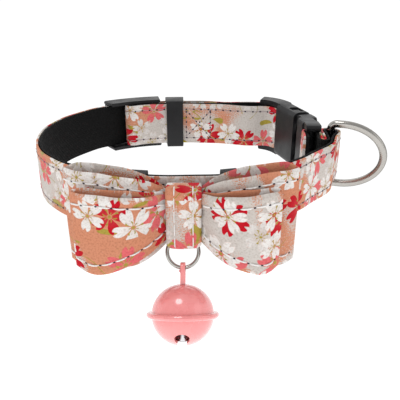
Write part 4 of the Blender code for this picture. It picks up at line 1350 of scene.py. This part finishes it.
def set_world():
    """A white studio, a little darker on the camera's side so that bright metal has something to mirror."""
    world = bpy.data.worlds.new("studio")
    bpy.context.scene.world = world
    world.use_nodes = True
    sky = Nodes(world.node_tree)
    direction = sky.add("ShaderNodeSeparateXYZ")
    sky.link(sky.add("ShaderNodeTexCoord").outputs["Generated"], direction.inputs[0])
    strength = sky.step(direction.outputs[1], -0.45, 0.15, 0.60, 1.06)
    sky.link(strength, world.node_tree.nodes["Background"].inputs["Strength"])
    world.node_tree.nodes["Background"].inputs["Color"].default_value = WHITE
    bpy.context.scene.view_settings.view_transform = "Standard"


# Dressing the object

BOW_PITCH = 4.7 * MM
BOW_THREAD = 0.29 * MM
BOW_HOLE = 0.62 * MM
STRAP_HOLE = 0.8 * MM
MOULDED = (
    ("slider", "slider_frame", 0.25 * MM),
    ("keeper", "keeper_loop", 0.25 * MM),
    ("buckle_socket", "buckle_shell", 0.22 * MM),
    ("buckle_prongs", "buckle_fork", 0.22 * MM),
)
ELASTIC_ROUND = 0.2 * MM


def make_looks():
    """The material of every finish on the collar, with the node groups that they share."""
    groups = {"weave": weave_group(), "print": print_group(blossom_group()), "wear": wear_group()}
    return {
        "strap_print": printed_cotton("strap_print", groups, (0.013, 0.004, 0.0)),
        "bow_print": printed_cotton("bow_print", groups, (0.589, 0.231, 0.0), (-1.0, 1.0, 1.0)),
        "knot_print": printed_cotton("knot_print", groups, (0.331, 0.072, 0.0)),
        "webbing": woven_webbing("webbing", groups),
        "elastic": elastic_band("elastic", groups),
        "strap_thread": thread("strap_thread", groups, (0.46, 0.36, 0.38, 1.0)),
        "thread": thread("white_thread", groups, (0.92, 0.90, 0.88, 1.0)),
        # The needle holes' near-black is painted shade, standing for the shade inside the holes.
        "hole": thread("needle_hole_painted_shade", groups, (0.025, 0.015, 0.03, 1.0)),
        "plastic": moulded_plastic("plastic", groups),
        "nickel": plated_metal("nickel", groups, (0.40, 0.385, 0.36, 1.0), 0.15),
        "steel": plated_metal("steel", groups, (0.62, 0.62, 0.64, 1.0), 0.25),
        "paint": bell_paint("bell_paint", groups),
    }


def dress_strap(looks):
    """The printed cover and the webbing behind it, with the cover's stitches."""
    places, outer, inner, web_outer, web_inner = strap_lines()
    strap = cloth_band("strap_cloth", places, outer, inner, looks["strap_print"], 0.10, 0.35)
    declare(strap, "collar", "floral_cloth", "strap_cover")
    web = cloth_band("strap_backing", places, web_outer, web_inner, looks["webbing"], 0.05, 0.15)
    declare(web, "collar", "black_webbing", "strap_webbing")
    rows = strap_stitches(places, outer, inner)
    seams = thread_piece("strap_stitching", rows, looks["strap_thread"])
    declare(seams, "collar", "floral_cloth")
    # Dark ovals of painted shade at the strap's needle holes
    holes = hole_shade_piece("strap_needle_hole_shade", rows, STRAP_HOLE, looks["hole"])
    declare(holes, "collar", "floral_cloth")
    return strap


def tier_stitches(points):
    """Rows of stitches along both hems of a tier's two front walls, which meet in the loop's middle row."""
    outwards = [[-up for up in row] for row in grid_normals(points)]
    rows = []
    middle = 2 * BOW_WALLS
    left_wing = range(middle - SEAM_END, middle - SEAM_START + 1)
    right_wing = range(middle + SEAM_START, middle + SEAM_END + 1)
    for walk in (left_wing, right_wing):
        for from_top in (True, False):
            line, ups = sheet_line(points, outwards, walk, BOW_SEAM * MM, from_top, BOW_FABRIC / 2)
            rows.append(stitch_row(line, ups, BOW_PITCH, 0.90, BOW_THREAD))
    return rows


def dress_bow(looks):
    """Both tiers and the knot, with their stitches."""
    rows = []
    for name, settings in TIERS.items():
        points = tier_grid(**settings)
        tier = thick_sheet(name + "_cloth", points, BOW_FABRIC, looks["bow_print"])
        declare(tier, "collar", "floral_cloth", name + "_tier")
        flat = (max((row[0] - row[-1]).length for row in points), lengths_along(middle_line(points))[-1])
        rows += tier_stitches(points)
    points = knot_grid()
    knot = thick_sheet("knot_cloth", points, KNOT_FABRIC, looks["knot_print"])
    declare(knot, "collar", "floral_cloth", "knot_band")
    # Dark ovals of painted shade at the bow's needle holes
    holes = hole_shade_piece("bow_needle_hole_shade", rows, BOW_HOLE, looks["hole"])
    declare(holes, "collar", "floral_cloth")
    seams = thread_piece("bow_stitching", rows + knot_stitches(points), looks["thread"])
    declare(seams, "collar", "floral_cloth")
    flat = (KNOT_WIDTH * MM, lengths_along(middle_line(points))[-1])


def dress_hardware(looks):
    """Slider, keeper, buckle and elastics, each shaped from its solid."""
    for name, new_name, width in MOULDED:
        declare(refined(name, new_name, looks["plastic"], width), "collar", "black_plastic", name)
    for name in ("bow_elastic_left", "bow_elastic_right"):
        band = refined(name, name + "_band", looks["elastic"], ELASTIC_ROUND)
        declare(band, "collar", "black_webbing", name)


def dress_hangings(looks):
    """The lead ring, the knot's ring and the bell with its pellet."""
    declare(make_d_ring(looks["nickel"]), "d_ring", "nickel", "d_ring")
    declare(make_knot_ring(looks["nickel"]), "knot_ring", "nickel", "knot_ring")
    declare(make_bell(looks["paint"]), "bell", "pink_paint", "bell")
    declare(make_pellet(looks["steel"]), "bell", "steel", "bell_pellet")


def main():
    looks = make_looks()
    set_camera()
    set_floor()
    set_world()
    for lamp in LAMPS:
        set_lamp(*lamp)
    strap_piece = dress_strap(looks)
    dress_bow(looks)
    dress_hardware(looks)
    dress_hangings(looks)


main()
